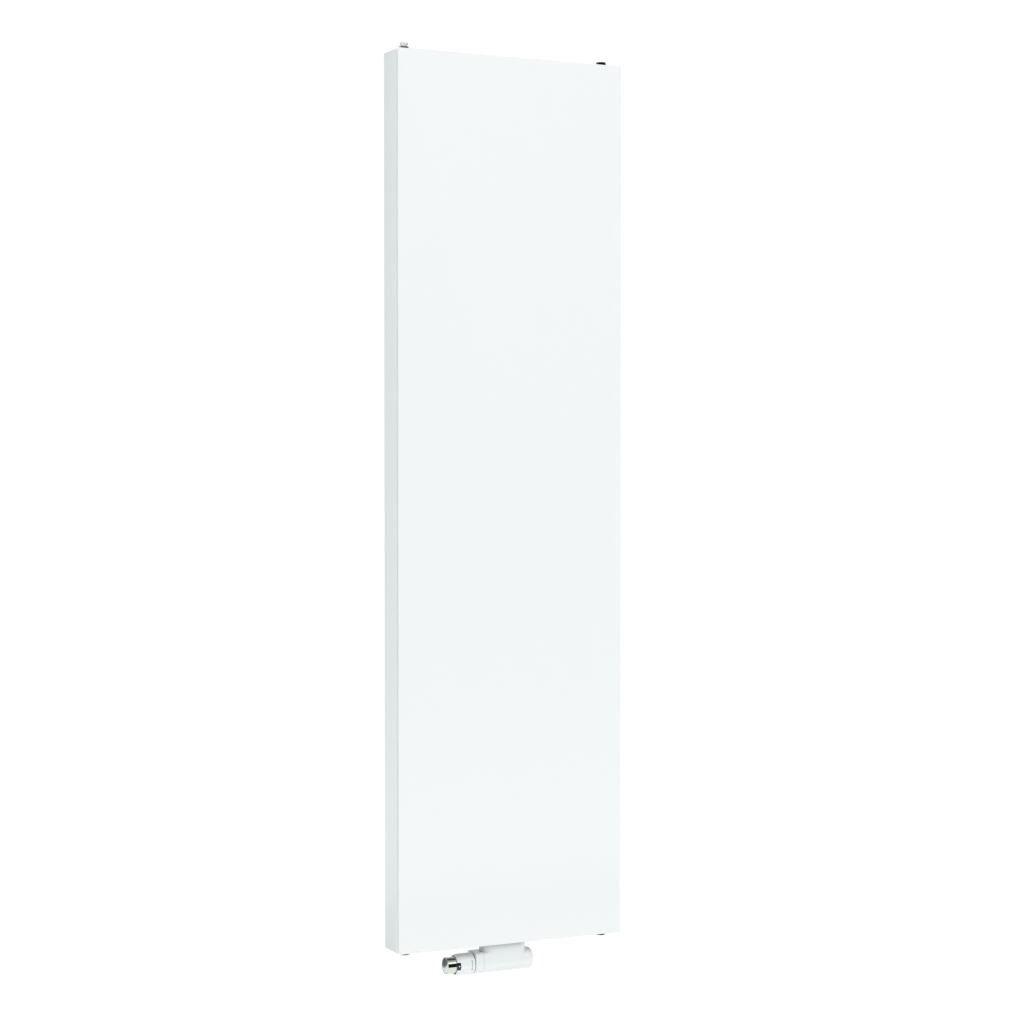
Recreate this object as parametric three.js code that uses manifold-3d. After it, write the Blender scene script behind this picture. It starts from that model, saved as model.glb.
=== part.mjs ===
// A tall flat-fronted steel panel radiator with a horizontal thermostatic valve under its middle.
// Millimetres, +Z up. The origin lies on the wall, on the radiator's centre line, midway between the
// upper and lower wall brackets. The front faces -Y and the wall is the plane y = 0.
import * as THREE from "three";
import { mergeVertices } from "three/addons/utils/BufferGeometryUtils.js";
import Module from "manifold-3d";

const wasm = await Module();
wasm.setup();

// ---- Driving dimensions -------------------------------------------------------------------------
const WIDTH = 500;
const HEIGHT = 1800;
const DEPTH = 75; // front plate to the back of the side panels
const WALL_GAP = 30; // back of the side panels to the wall
const FIT = 0.3; // gap left between pieces that touch
const OVER = 1; // cuts run this far past the faces they open

const HALF_WIDTH = WIDTH / 2;
const TOP = HEIGHT / 2;
const BACK_Y = -WALL_GAP;
const FRONT_Y = BACK_Y - DEPTH;
const MID_Y = (FRONT_Y + BACK_Y) / 2;

// Front plate and side panels
const PLATE_SHEET = 1.2;
const PLATE_LIP = 3; // depth of the plate's folded rim
const PLATE_EDGE = 1.2; // bevel round the front plate
const PLATE_CORNER = 2;
const SIDE_SHEET = 1.2;
const GROOVE_DEPTH = 5.4; // shadow groove between the front plate and each side panel
const GROOVE_END = 10; // where the side panel comes out to full width, behind the front plate
const SIDE_RETURN = 12; // lip that folds in along the back edge
const SIDE_BENDS = [0, 1, 4, 2, 0]; // fillets along the side panel's path, front to back
const SIDE_SHORT = 1; // side panels stop this far inside the top and bottom edges

// Water panels: pressed channels between two headers
const CHANNEL_COUNT = 14;
const CHANNEL_PITCH = 100 / 3;
const CHANNEL_FOOT = 13.5; // half width of a channel where it meets the web
const CHANNEL_CREST = 9; // half width of its flat crest
const PANEL_HALF_DEPTH = 5.75;
const PANEL_SHEET = 1.25;
const PANEL_HALF_WIDTH = 240;
const PANEL_TOP = 893;
const HEADER_HALF = 18;
const HEADER_CREST = 13;
const HEADER_STOP = 3; // the headers end this far inside the panel's side edges
const FRONT_PANEL_Y = FRONT_Y + PLATE_SHEET + FIT + PANEL_HALF_DEPTH;
const REAR_PANEL_Y = BACK_Y - SIDE_SHEET - PANEL_HALF_DEPTH;

// Convector sheets, one on the inner face of each water panel
const FIN_SHEET = 0.6;
const FIN_DEPTH = 22;
const FIN_FLAT = 6; // half width of each flat
const FIN_HALF_HEIGHT = 820;

// Tees that join the two water panels and carry the screwed sockets
const SOCKET_X = HALF_WIDTH - 28;
const SOCKET_RADIUS = 13;
const SOCKET_BORE = 8.6;
const SOCKET_END = 0.5; // the socket stops this far inside the radiator's top or bottom edge
const TEE_LENGTH = 40;
const TEE_FLOOR = 4;
const TEE_ARM_RADIUS = 10;
const TEE_ARM_BORE = 6.5;
const TEE_ARM_DROP = TOP - PANEL_TOP + HEADER_HALF; // radiator's edge to the header's middle

// Plugs and air vent
const PLUG_RADIUS = 10.5;
const PLUG_SHANK = 8.2;
const PLUG_SHANK_LENGTH = 11;
const PLUG_CHAMFER = 0.8;
const PLUG_KEY = 4; // half of the square key socket's width
const PLUG_KEY_DEPTH = 5;
const TOP_PLUG_RISE = 11;
const BOTTOM_PLUG_RISE = 9;
const VENT_RISE = 9;
const NOZZLE_RADIUS = 7.4;
const NOZZLE_TOP = 17.4;
const NOZZLE_CHAMFER = 1;
const SEAL_THICK = 1.4;
const SEAL_RADIUS = 9.9;

// Hanging lugs and wall brackets
const LUG_X = 150;
const LUG_Z = 740;
const LUG_SHEET = 2;
const LUG_HALF_HEIGHT = 18;
const LUG_HALF_BRIDGE = 15;
const LUG_FLANGE = 12;
const LUG_STRAP_Y = -17;
const LUG_BEND = 1.5;
const BRACKET_SHEET = 3;
const BRACKET_HALF_WIDTH = 11;
const BRACKET_TONGUE_Y = -23.5;
const BRACKET_TONGUE_TOP = 10;
const BRACKET_TOP = 60;
const BRACKET_BEND = 2.5;
const SCREW_Z = 42;
const SCREW_HOLE = 3;
const SCREW_SHANK = 2.5;
const SCREW_HEAD = 6;
const SCREW_HEAD_THICK = 3;
const SCREW_HEAD_TAPER = 1;
const SCREW_DRIVE = 5; // across the flats
const SCREW_DRIVE_FLOOR = 1;

// Valve: every x below is measured from the radiator's centre line, y and z from the valve's axis
const VALVE_Z = -TOP - 40.6;
const VALVE_X = -5.7; // middle of the two tails
const TAIL_SPACING = 50;
const HEAD_RADIUS = 22;
const COVER_LEFT = -55.4;
const COVER_RIGHT = 57.8;
const COVER_ROUND = 7;
const COVER_WALL = 1.6;
const COVER_TOP = 38.6;
const COVER_HALF_SPAN = 27.75;
const COVER_BACK_LEFT = -50; // the cover is open at the back between these, behind this y
const COVER_BACK_RIGHT = 38;
const COVER_BACK_Y = 11;
const NECK_TOP = 23.6;
const NECK_CORNER = 8;
const NECK_LEFT = -73.5;
const NECK_RIGHT = -55.9;
const NECK_BORE = 18;
const SLEEVE_LEFT = -114;
const SLEEVE_RIGHT = -75;
const SLEEVE_RIM = 19.3;
const SHOULDER_LENGTH = 12;
const SLEEVE_BORE = 18.6;
const SLEEVE_CHAMBER = 19.8;
const SLEEVE_CHAMBER_LEFT = -103.2;
const KNOB_RADIUS = 17;
const KNOB_LEFT = -133;
const KNOB_RIGHT = -100.7;
const INDEX_WIDTH = 6.9; // from the sleeve's left rim
const INDEX_HALF_HEIGHT = 7.45;
const INDEX_THICK = 0.8;
const INDEX_PROUD = 0.1;

const ROUND = 28; // sides of the valve head and its cover
const SMALL_ROUND = 12; // sides of the other round pieces

// ---- Materials ----------------------------------------------------------------------------------
function finish(color, roughness, metalness) {
  return new THREE.MeshStandardMaterial({ color, roughness, metalness });
}

const whitePaint = finish(0xf1f4f4, 0.42, 0);
const whitePlastic = finish(0xf3f4f3, 0.35, 0);
const chrome = finish(0xc9ccca, 0.08, 1);
const nickel = finish(0x8f9089, 0.25, 1);
const darkNickel = finish(0x33383b, 0.25, 1);
const zincSteel = finish(0xa9adb0, 0.45, 1);
const brass = finish(0xb08d4a, 0.35, 1);
const blackPlastic = finish(0x17191a, 0.4, 0);
const greyPlastic = finish(0x4a4e50, 0.5, 0);
const rubber = finish(0x1c1c1c, 0.8, 0);

// ---- Shape helpers ------------------------------------------------------------------------------
const MERGE = 1e-4;
const BASIS = {
  x: [new THREE.Vector3(0, 1, 0), new THREE.Vector3(0, 0, 1), new THREE.Vector3(1, 0, 0)],
  y: [new THREE.Vector3(1, 0, 0), new THREE.Vector3(0, 0, 1), new THREE.Vector3(0, 1, 0)],
  z: [new THREE.Vector3(1, 0, 0), new THREE.Vector3(0, 1, 0), new THREE.Vector3(0, 0, 1)],
};

// The geometry as a solid whose faces point out.
function toSolid(geometry) {
  geometry.deleteAttribute("normal");
  geometry.deleteAttribute("uv");
  const merged = mergeVertices(geometry, MERGE);
  const corners = Uint32Array.from(merged.index.array);
  const make = () =>
    new wasm.Manifold(
      new wasm.Mesh({
        numProp: 3,
        vertProperties: merged.attributes.position.array,
        triVerts: corners,
      }),
    );
  const made = make();
  if (made.volume() > 0) return made;
  for (let i = 0; i < corners.length; i += 3) {
    [corners[i + 1], corners[i + 2]] = [corners[i + 2], corners[i + 1]];
  }
  return make();
}

// An outline drawn across the axis, pushed along it. Across x it is (y, z), across y it is (x, z).
function prism(axis, outline, from, to) {
  const shape = new THREE.Shape(outline.map(([u, v]) => new THREE.Vector2(u, v)));
  const pushed = new THREE.ExtrudeGeometry(shape, { depth: to - from, bevelEnabled: false });
  pushed.translate(0, 0, from);
  pushed.applyMatrix4(new THREE.Matrix4().makeBasis(...BASIS[axis]));
  return toSolid(pushed);
}

// A body turned about the axis from [radius, distance along the axis] points.
function turned(axis, profile, sides = SMALL_ROUND) {
  const points = profile.map(([radius, along]) => new THREE.Vector2(radius, along));
  const lathe = new THREE.LatheGeometry(points, sides);
  lathe.rotateX(Math.PI / 2);
  lathe.applyMatrix4(new THREE.Matrix4().makeBasis(...BASIS[axis]));
  return toSolid(lathe);
}

function rod(axis, radius, from, to, sides = SMALL_ROUND) {
  return turned(axis, [[0, from], [radius, from], [radius, to], [0, to]], sides);
}

// A ring of revolution: its section is closed on itself.
function ring(axis, section, sides = SMALL_ROUND) {
  return turned(axis, [...section, section[0]], sides);
}

function washer(axis, outer, inner, from, to, sides = SMALL_ROUND) {
  return ring(axis, [[inner, from], [outer, from], [outer, to], [inner, to]], sides);
}

function block([x0, y0, z0], [x1, y1, z1]) {
  const box = new THREE.BoxGeometry(x1 - x0, y1 - y0, z1 - z0);
  box.translate((x0 + x1) / 2, (y0 + y1) / 2, (z0 + z1) / 2);
  return toSolid(box);
}

function hexagon(acrossFlats) {
  const corner = acrossFlats / Math.sqrt(3);
  return Array.from({ length: 6 }, (_, i) => [
    corner * Math.cos((i * Math.PI) / 3),
    corner * Math.sin((i * Math.PI) / 3),
  ]);
}

function joined(solids) {
  return solids.reduce((whole, piece) => whole.add(piece));
}

// A polyline with its inner corners rounded; radii has one value for each point.
function filleted(points, radii, steps = 4) {
  return points.flatMap((point, i) => {
    if (!radii[i]) return [point];
    const towards = (other) => {
      const span = Math.hypot(other[0] - point[0], other[1] - point[1]);
      return [0, 1].map((k) => point[k] + ((other[k] - point[k]) * radii[i]) / span);
    };
    const start = new THREE.Vector2(...towards(points[i - 1]));
    const end = new THREE.Vector2(...towards(points[i + 1]));
    const bend = new THREE.QuadraticBezierCurve(start, new THREE.Vector2(...point), end);
    return bend.getPoints(steps).map((p) => [p.x, p.y]);
  });
}

// The outline of a sheet that follows a polyline, half its thickness to either side.
function sheetOutline(path, thickness) {
  const normals = path.slice(1).map((p, i) => {
    const [dx, dy] = [p[0] - path[i][0], p[1] - path[i][1]];
    const length = Math.hypot(dx, dy);
    return [-dy / length, dx / length];
  });
  const side = (sign) =>
    path.map((p, i) => {
      const before = normals[Math.max(i - 1, 0)];
      const after = normals[Math.min(i, normals.length - 1)];
      const mitre = [before[0] + after[0], before[1] + after[1]];
      const scale = (sign * thickness) / (mitre[0] ** 2 + mitre[1] ** 2);
      return [p[0] + mitre[0] * scale, p[1] + mitre[1] * scale];
    });
  return [...side(1), ...side(-1).reverse()];
}

// A close-coiled spring along x, as a tube on a helix.
function coilSpring({ radius, wire, from, to, turns }) {
  const STEPS_PER_TURN = 10;
  const WIRE_SIDES = 4;
  const points = Array.from({ length: turns * STEPS_PER_TURN + 1 }, (_, i) => {
    const angle = (i * 2 * Math.PI) / STEPS_PER_TURN;
    const along = from + ((to - from) * i) / (turns * STEPS_PER_TURN);
    return new THREE.Vector3(along, radius * Math.cos(angle), radius * Math.sin(angle));
  });
  const section = Array.from({ length: WIRE_SIDES }, (_, i) => {
    const angle = (i * 2 * Math.PI) / WIRE_SIDES;
    return new THREE.Vector2(wire * Math.cos(angle), wire * Math.sin(angle));
  });
  const extrudePath = new THREE.CatmullRomCurve3(points);
  const steps = turns * STEPS_PER_TURN;
  return toSolid(new THREE.ExtrudeGeometry(new THREE.Shape(section), { steps, extrudePath }));
}

// Adds a solid to a group as a named mesh.
function put(group, name, solid, material) {
  const { vertProperties, triVerts } = solid.getMesh();
  const geometry = new THREE.BufferGeometry();
  geometry.setAttribute("position", new THREE.BufferAttribute(vertProperties, 3));
  geometry.setIndex(new THREE.BufferAttribute(triVerts, 1));
  geometry.computeVertexNormals();
  const mesh = new THREE.Mesh(geometry, material);
  mesh.name = name;
  group.add(mesh);
  return mesh;
}

const radiator = new THREE.Group();

// ---- Front plate: a flat sheet with a shallow folded rim -----------------------------------------
function frontPlate() {
  const u = HALF_WIDTH - PLATE_EDGE;
  const v = TOP - PLATE_EDGE;
  const corners = [[-u, 0], [-u, -v], [u, -v], [u, v], [-u, v], [-u, 0]];
  const outline = filleted(corners, [0, PLATE_CORNER, PLATE_CORNER, PLATE_CORNER, PLATE_CORNER, 0]);
  const shape = new THREE.Shape(outline.map(([x, z]) => new THREE.Vector2(x, z)));
  const slab = new THREE.ExtrudeGeometry(shape, {
    depth: 2 * PLATE_LIP,
    bevelThickness: PLATE_EDGE,
    bevelSize: PLATE_EDGE,
    bevelSegments: 3,
  });
  slab.translate(0, 0, FRONT_Y + PLATE_EDGE);
  slab.applyMatrix4(new THREE.Matrix4().makeBasis(...BASIS.y));
  const behind = block([-WIDTH, FRONT_Y + PLATE_LIP, -HEIGHT], [WIDTH, 0, HEIGHT]);
  const pocketX = HALF_WIDTH - PLATE_SHEET;
  const pocketZ = TOP - PLATE_SHEET;
  const pocket = block([-pocketX, FRONT_Y + PLATE_SHEET, -pocketZ], [pocketX, 0, pocketZ]);
  return toSolid(slab).subtract(behind).subtract(pocket);
}

put(radiator, "front_plate", frontPlate(), whitePaint);

// ---- Side panels: sheets with a shadow groove behind the front plate ------------------------------
function sidePanel(side) {
  const face = HALF_WIDTH - SIDE_SHEET / 2;
  const groove = face - GROOVE_DEPTH;
  const path = [
    [side * groove, FRONT_Y + PLATE_LIP + FIT],
    [side * groove, FRONT_Y + GROOVE_END],
    [side * face, FRONT_Y + GROOVE_END],
    [side * face, BACK_Y - SIDE_SHEET / 2],
    [side * (face - SIDE_RETURN), BACK_Y - SIDE_SHEET / 2],
  ];
  const outline = sheetOutline(filleted(path, SIDE_BENDS), SIDE_SHEET);
  return prism("z", outline, -TOP + SIDE_SHORT, TOP - SIDE_SHORT);
}

put(radiator, "left_side_panel", sidePanel(-1), whitePaint);
put(radiator, "right_side_panel", sidePanel(1), whitePaint);

// ---- Water panels: two pressed sheets with vertical channels and a header at each end -------------
const SOCKET_PLACES = [
  { name: "top_left", x: -SOCKET_X, end: 1 },
  { name: "top_right", x: SOCKET_X, end: 1 },
  { name: "bottom_left", x: -SOCKET_X, end: -1 },
  { name: "bottom_right", x: SOCKET_X, end: -1 },
  { name: "supply", x: VALVE_X - TAIL_SPACING / 2, end: -1 },
  { name: "return", x: VALVE_X + TAIL_SPACING / 2, end: -1 },
];
const HEADER_Z = TOP - TEE_ARM_DROP;

function ridge(foot, crest, height) {
  return [[-foot, 0], [-crest, -height], [crest, -height], [foot, 0], [crest, height], [-crest, height]];
}

// Channels and headers of one panel about its own web plane, shrunk by inset on every side.
function passages(inset) {
  const height = PANEL_HALF_DEPTH - inset;
  const channel = ridge(CHANNEL_FOOT - inset, CHANNEL_CREST - inset / 2, height);
  const header = ridge(HEADER_HALF - inset, HEADER_CREST - inset / 2, height);
  const reach = PANEL_HALF_WIDTH - HEADER_STOP - inset;
  const solids = [];
  for (let i = 0; i < CHANNEL_COUNT; i += 1) {
    const x = (i - (CHANNEL_COUNT - 1) / 2) * CHANNEL_PITCH;
    solids.push(prism("z", channel, -HEADER_Z, HEADER_Z).translate([x, 0, 0]));
  }
  for (const end of [-1, 1]) {
    const across = header.map(([z, y]) => [y, z + end * HEADER_Z]);
    solids.push(prism("x", across, -reach, reach));
  }
  return joined(solids);
}

// towards is the side of the panel that its ports open on: 1 for +Y, -1 for -Y.
function waterPanel(towards) {
  const web = block(
    [-PANEL_HALF_WIDTH, -PANEL_SHEET, -PANEL_TOP],
    [PANEL_HALF_WIDTH, PANEL_SHEET, PANEL_TOP],
  );
  const reach = [0, towards * 2 * PANEL_HALF_DEPTH];
  const ports = SOCKET_PLACES.map(({ x, end }) =>
    rod("y", TEE_ARM_BORE, Math.min(...reach), Math.max(...reach)).translate([x, 0, end * HEADER_Z]),
  );
  return passages(0).add(web).subtract(passages(PANEL_SHEET)).subtract(joined(ports));
}

put(radiator, "front_water_panel", waterPanel(1), whitePaint).position.y = FRONT_PANEL_Y;
put(radiator, "rear_water_panel", waterPanel(-1), whitePaint).position.y = REAR_PANEL_Y;

// ---- Convector sheets: a folded wave on the inner face of each water panel ------------------------
function convector(towards) {
  const path = [];
  for (let i = 0; i < CHANNEL_COUNT; i += 1) {
    const x = (i - (CHANNEL_COUNT - 1) / 2) * CHANNEL_PITCH;
    path.push([x - CHANNEL_PITCH / 2 + FIN_FLAT, towards * FIN_DEPTH]);
    path.push([x - FIN_FLAT, 0], [x + FIN_FLAT, 0]);
    path.push([x + CHANNEL_PITCH / 2 - FIN_FLAT, towards * FIN_DEPTH]);
  }
  return prism("z", sheetOutline(path, FIN_SHEET), -FIN_HALF_HEIGHT, FIN_HALF_HEIGHT);
}

const FIN_OFFSET = PANEL_HALF_DEPTH + FIT + FIN_SHEET / 2;
put(radiator, "front_convector", convector(1), whitePaint).position.y = FRONT_PANEL_Y + FIN_OFFSET;
put(radiator, "rear_convector", convector(-1), whitePaint).position.y = REAR_PANEL_Y - FIN_OFFSET;

// ---- Tees between the water panels, each with a socket that points out of the radiator ------------
const ARM_FRONT = FRONT_PANEL_Y + PANEL_HALF_DEPTH + FIT - MID_Y;
const ARM_BACK = REAR_PANEL_Y - PANEL_HALF_DEPTH - FIT - MID_Y;

// The tee with its socket pointing up, from the radiator's edge at z = 0, on the mid-depth line.
function tee() {
  const socket = rod("z", SOCKET_RADIUS, -TEE_LENGTH, -SOCKET_END);
  const arm = rod("y", TEE_ARM_RADIUS, ARM_FRONT, ARM_BACK).translate([0, 0, -TEE_ARM_DROP]);
  const bore = rod("z", SOCKET_BORE, -TEE_LENGTH + TEE_FLOOR, OVER);
  const armBore = rod("y", TEE_ARM_BORE, ARM_FRONT - OVER, ARM_BACK + OVER);
  return socket.add(arm).subtract(bore).subtract(armBore.translate([0, 0, -TEE_ARM_DROP]));
}

// A group at a socket: its local +z points out of the radiator from the radiator's edge.
function socketGroup({ x, end }) {
  const group = new THREE.Group();
  group.position.set(x, MID_Y, end * TOP);
  group.rotation.y = end > 0 ? 0 : Math.PI;
  radiator.add(group);
  return group;
}

const sockets = Object.fromEntries(SOCKET_PLACES.map((place) => [place.name, socketGroup(place)]));
for (const [name, group] of Object.entries(sockets)) {
  put(group, `${name}_tee`, tee(), whitePaint);
}

// ---- Blanking plugs and their seals ---------------------------------------------------------------
const FLANGE_BASE = -SOCKET_END + SEAL_THICK + 2 * FIT; // underside of a plug's flange

function seal() {
  return washer("z", SEAL_RADIUS, PLUG_SHANK + FIT, FIT - SOCKET_END, FLANGE_BASE - FIT);
}

function squareHole(half, from, to) {
  return block([-half, -half, from], [half, half, to]);
}

function blankingPlug(rise) {
  const body = turned("z", [
    [0, FLANGE_BASE - PLUG_SHANK_LENGTH],
    [PLUG_SHANK, FLANGE_BASE - PLUG_SHANK_LENGTH],
    [PLUG_SHANK, FLANGE_BASE],
    [PLUG_RADIUS, FLANGE_BASE],
    [PLUG_RADIUS, rise - PLUG_CHAMFER],
    [PLUG_RADIUS - PLUG_CHAMFER, rise],
    [0, rise],
  ]);
  return body.subtract(squareHole(PLUG_KEY, rise - PLUG_KEY_DEPTH, rise + OVER));
}

const PLUGS = [
  { place: "top_right", rise: TOP_PLUG_RISE, material: darkNickel },
  { place: "bottom_left", rise: BOTTOM_PLUG_RISE, material: nickel },
  { place: "bottom_right", rise: BOTTOM_PLUG_RISE, material: darkNickel },
];
for (const { place, rise, material } of PLUGS) {
  put(sockets[place], `${place}_plug`, blankingPlug(rise), material);
  put(sockets[place], `${place}_plug_seal`, seal(), rubber);
}

// ---- Air vent: plated body, turning outlet collar and bleed screw ---------------------------------
const VENT_BORE = 2.6;
const VENT_POST = 4.6; // outer radius of the post that the collar turns on
const VENT_GROOVE_TOP = 15.4;
const BLEED_RADIUS = 2.3;
const BLEED_TIP = 6;
const BLEED_TOP = 16.6;
const BLEED_SQUARE = 1.3;
const BLEED_CONE = 2;
const BLEED_SHOULDER = 13.6;
const SPOUT_RADIUS = 2;
const SPOUT_BORE = 1.1;
const SPOUT_Z = 13.4;
const SPOUT_ROOT = 5.6;
const SPOUT_REACH = 10.2;

function ventBody() {
  return ring("z", [
    [VENT_BORE, FLANGE_BASE - PLUG_SHANK_LENGTH],
    [PLUG_SHANK, FLANGE_BASE - PLUG_SHANK_LENGTH],
    [PLUG_SHANK, FLANGE_BASE],
    [PLUG_RADIUS, FLANGE_BASE],
    [PLUG_RADIUS, VENT_RISE - PLUG_CHAMFER],
    [PLUG_RADIUS - PLUG_CHAMFER, VENT_RISE],
    [VENT_POST, VENT_RISE],
    [VENT_POST, VENT_GROOVE_TOP],
    [VENT_BORE, VENT_GROOVE_TOP],
  ]);
}

function ventNozzle() {
  const collar = ring("z", [
    [VENT_POST + FIT, VENT_RISE + FIT],
    [NOZZLE_RADIUS, VENT_RISE + FIT],
    [NOZZLE_RADIUS, NOZZLE_TOP - NOZZLE_CHAMFER],
    [NOZZLE_RADIUS - NOZZLE_CHAMFER, NOZZLE_TOP],
    [VENT_POST + FIT, NOZZLE_TOP],
  ]);
  const spout = rod("x", SPOUT_RADIUS, SPOUT_ROOT, SPOUT_REACH).translate([0, 0, SPOUT_Z]);
  const hole = rod("x", SPOUT_BORE, VENT_POST - OVER, SPOUT_REACH + OVER).translate([0, 0, SPOUT_Z]);
  return collar.add(spout).subtract(hole);
}

function bleedScrew() {
  const screw = turned("z", [
    [0, BLEED_TIP],
    [BLEED_RADIUS, BLEED_TIP + BLEED_CONE],
    [BLEED_RADIUS, BLEED_SHOULDER],
    [0, BLEED_SHOULDER],
  ]);
  return screw.add(squareHole(BLEED_SQUARE, BLEED_SHOULDER - OVER, BLEED_TOP));
}

put(sockets.top_left, "vent_body", ventBody(), nickel);
put(sockets.top_left, "vent_seal", seal(), rubber);
put(sockets.top_left, "vent_nozzle", ventNozzle(), whitePlastic).rotation.z = -Math.PI / 3;
put(sockets.top_left, "bleed_screw", bleedScrew(), brass);

// ---- Hanging lugs on the rear panel, and the wall brackets they hang on ---------------------------
function hangingLug() {
  const flangeY = REAR_PANEL_Y + PANEL_HALF_DEPTH + FIT + LUG_SHEET / 2;
  const path = [
    [-LUG_HALF_BRIDGE - LUG_FLANGE, flangeY],
    [-LUG_HALF_BRIDGE, flangeY],
    [-LUG_HALF_BRIDGE, LUG_STRAP_Y],
    [LUG_HALF_BRIDGE, LUG_STRAP_Y],
    [LUG_HALF_BRIDGE, flangeY],
    [LUG_HALF_BRIDGE + LUG_FLANGE, flangeY],
  ];
  const bends = filleted(path, [0, LUG_BEND, LUG_BEND, LUG_BEND, LUG_BEND, 0], 2);
  return prism("z", sheetOutline(bends, LUG_SHEET), -LUG_HALF_HEIGHT, LUG_HALF_HEIGHT);
}

function wallBracket() {
  const plateY = -BRACKET_SHEET / 2;
  const armZ = -LUG_HALF_HEIGHT - FIT - BRACKET_SHEET / 2;
  const path = [
    [plateY, BRACKET_TOP],
    [plateY, armZ],
    [BRACKET_TONGUE_Y, armZ],
    [BRACKET_TONGUE_Y, BRACKET_TONGUE_TOP],
  ];
  const bent = sheetOutline(filleted(path, [0, BRACKET_BEND, BRACKET_BEND, 0], 3), BRACKET_SHEET);
  const hole = rod("y", SCREW_HOLE, -BRACKET_SHEET - OVER, OVER).translate([0, 0, SCREW_Z]);
  return prism("x", bent, -BRACKET_HALF_WIDTH, BRACKET_HALF_WIDTH).subtract(hole);
}

function bracketScrew() {
  const seat = -BRACKET_SHEET - FIT;
  const screw = turned("y", [
    [0, seat - SCREW_HEAD_THICK],
    [SCREW_HEAD - SCREW_HEAD_TAPER, seat - SCREW_HEAD_THICK],
    [SCREW_HEAD, seat],
    [SCREW_SHANK, seat],
    [SCREW_SHANK, -FIT],
    [0, -FIT],
  ]);
  const mouth = seat - SCREW_HEAD_THICK - OVER;
  const drive = prism("y", hexagon(SCREW_DRIVE), mouth, seat - SCREW_DRIVE_FLOOR);
  return screw.subtract(drive).translate([0, 0, SCREW_Z]);
}

for (const [column, side] of [["left", -1], ["right", 1]]) {
  for (const [row, level] of [["upper", 1], ["lower", -1]]) {
    const hanger = new THREE.Group();
    hanger.position.set(side * LUG_X, 0, level * LUG_Z);
    radiator.add(hanger);
    put(hanger, `${row}_${column}_lug`, hangingLug(), whitePaint);
    put(hanger, `${row}_${column}_bracket`, wallBracket(), zincSteel);
    put(hanger, `${row}_${column}_bracket_screw`, bracketScrew(), zincSteel);
  }
}

// ---- Valve group: local x runs along the valve, y and z are measured from its axis -----------------
const valve = new THREE.Group();
valve.position.set(0, MID_Y, VALVE_Z);
radiator.add(valve);

const TAILS = [
  { name: "supply", x: VALVE_X - TAIL_SPACING / 2 },
  { name: "return", x: VALVE_X + TAIL_SPACING / 2 },
];
const SOCKET_FACE = -VALVE_Z - TOP + SOCKET_END; // height of the radiator's sockets above the axis
const BODY_RADIUS = 12.5;
const BODY_LEFT = -50;
const BODY_RIGHT = 36;
const BRANCH_RADIUS = 10.9;
const BRANCH_TOP = 20.5;
const OUTLET_END = 31;
const WATERWAY = 5.5;
const INSERT_BORE = 8;
const INSERT_END = -24;
const SHUTOFF_BORE = 5;
const SHUTOFF_END = 12;

// The double-angle body: two branches up to the radiator, two outlets back to the wall pipes.
function valveBody() {
  const solids = [rod("x", BODY_RADIUS, BODY_LEFT, BODY_RIGHT, ROUND)];
  const cuts = [
    rod("x", INSERT_BORE, BODY_LEFT - OVER, INSERT_END),
    rod("x", SHUTOFF_BORE, SHUTOFF_END, BODY_RIGHT + OVER),
  ];
  for (const { x } of TAILS) {
    solids.push(rod("z", BRANCH_RADIUS, 0, BRANCH_TOP).translate([x, 0, 0]));
    solids.push(rod("y", BRANCH_RADIUS, 0, OUTLET_END).translate([x, 0, 0]));
    cuts.push(rod("z", WATERWAY, 0, BRANCH_TOP + OVER).translate([x, 0, 0]));
    cuts.push(rod("y", WATERWAY, 0, OUTLET_END + OVER).translate([x, 0, 0]));
  }
  return joined(solids).subtract(joined(cuts));
}

put(valve, "valve_body", valveBody(), nickel);

const NIPPLE_SHANK = 11;
const NIPPLE_FLANGE = 12.5;
const NIPPLE_FLANGE_THICK = 3;
const NIPPLE_NECK = 8;
const NIPPLE_COLLAR = 10.5;
const NIPPLE_COLLAR_TOP = 27;
const NIPPLE_BASE = 22.5;
const NUT_FLATS = 27;
const NUT_BASE = 18.5;
const NUT_TOP = 33;
const NUT_CAVITY = 11.2;

function tailNipple() {
  const seat = SOCKET_FACE - FIT;
  return ring("z", [
    [WATERWAY, seat + NIPPLE_SHANK],
    [PLUG_SHANK, seat + NIPPLE_SHANK],
    [PLUG_SHANK, seat],
    [NIPPLE_FLANGE, seat],
    [NIPPLE_FLANGE, seat - NIPPLE_FLANGE_THICK],
    [NIPPLE_NECK, seat - NIPPLE_FLANGE_THICK],
    [NIPPLE_NECK, NIPPLE_COLLAR_TOP],
    [NIPPLE_COLLAR, NIPPLE_COLLAR_TOP],
    [NIPPLE_COLLAR, NIPPLE_BASE],
    [WATERWAY, NIPPLE_BASE],
  ]);
}

function unionNut() {
  const blank = prism("z", hexagon(NUT_FLATS), NUT_BASE, NUT_TOP);
  const throat = rod("z", NIPPLE_NECK + FIT, NUT_BASE - OVER, NUT_TOP + OVER);
  const cavity = rod("z", NUT_CAVITY, NUT_BASE - OVER, NIPPLE_COLLAR_TOP + FIT);
  return blank.subtract(throat).subtract(cavity);
}

function tailGasket() {
  return washer("z", NIPPLE_COLLAR - FIT, WATERWAY + FIT, BRANCH_TOP + FIT, NIPPLE_BASE - FIT);
}

// Compression connector on an outlet: hexagon, then a collar whose end face meets the wall pipe.
const CONNECTOR_START = 26;
const CONNECTOR_HEX_END = 44;
const CONNECTOR_WALL_GAP = 12; // its end face to the wall
const CONNECTOR_END = -MID_Y - CONNECTOR_WALL_GAP;
const CONNECTOR_SIDES = 20;
const CONNECTOR_COLLAR = 10.2;
const PIPE_BORE = 7.7;

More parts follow.
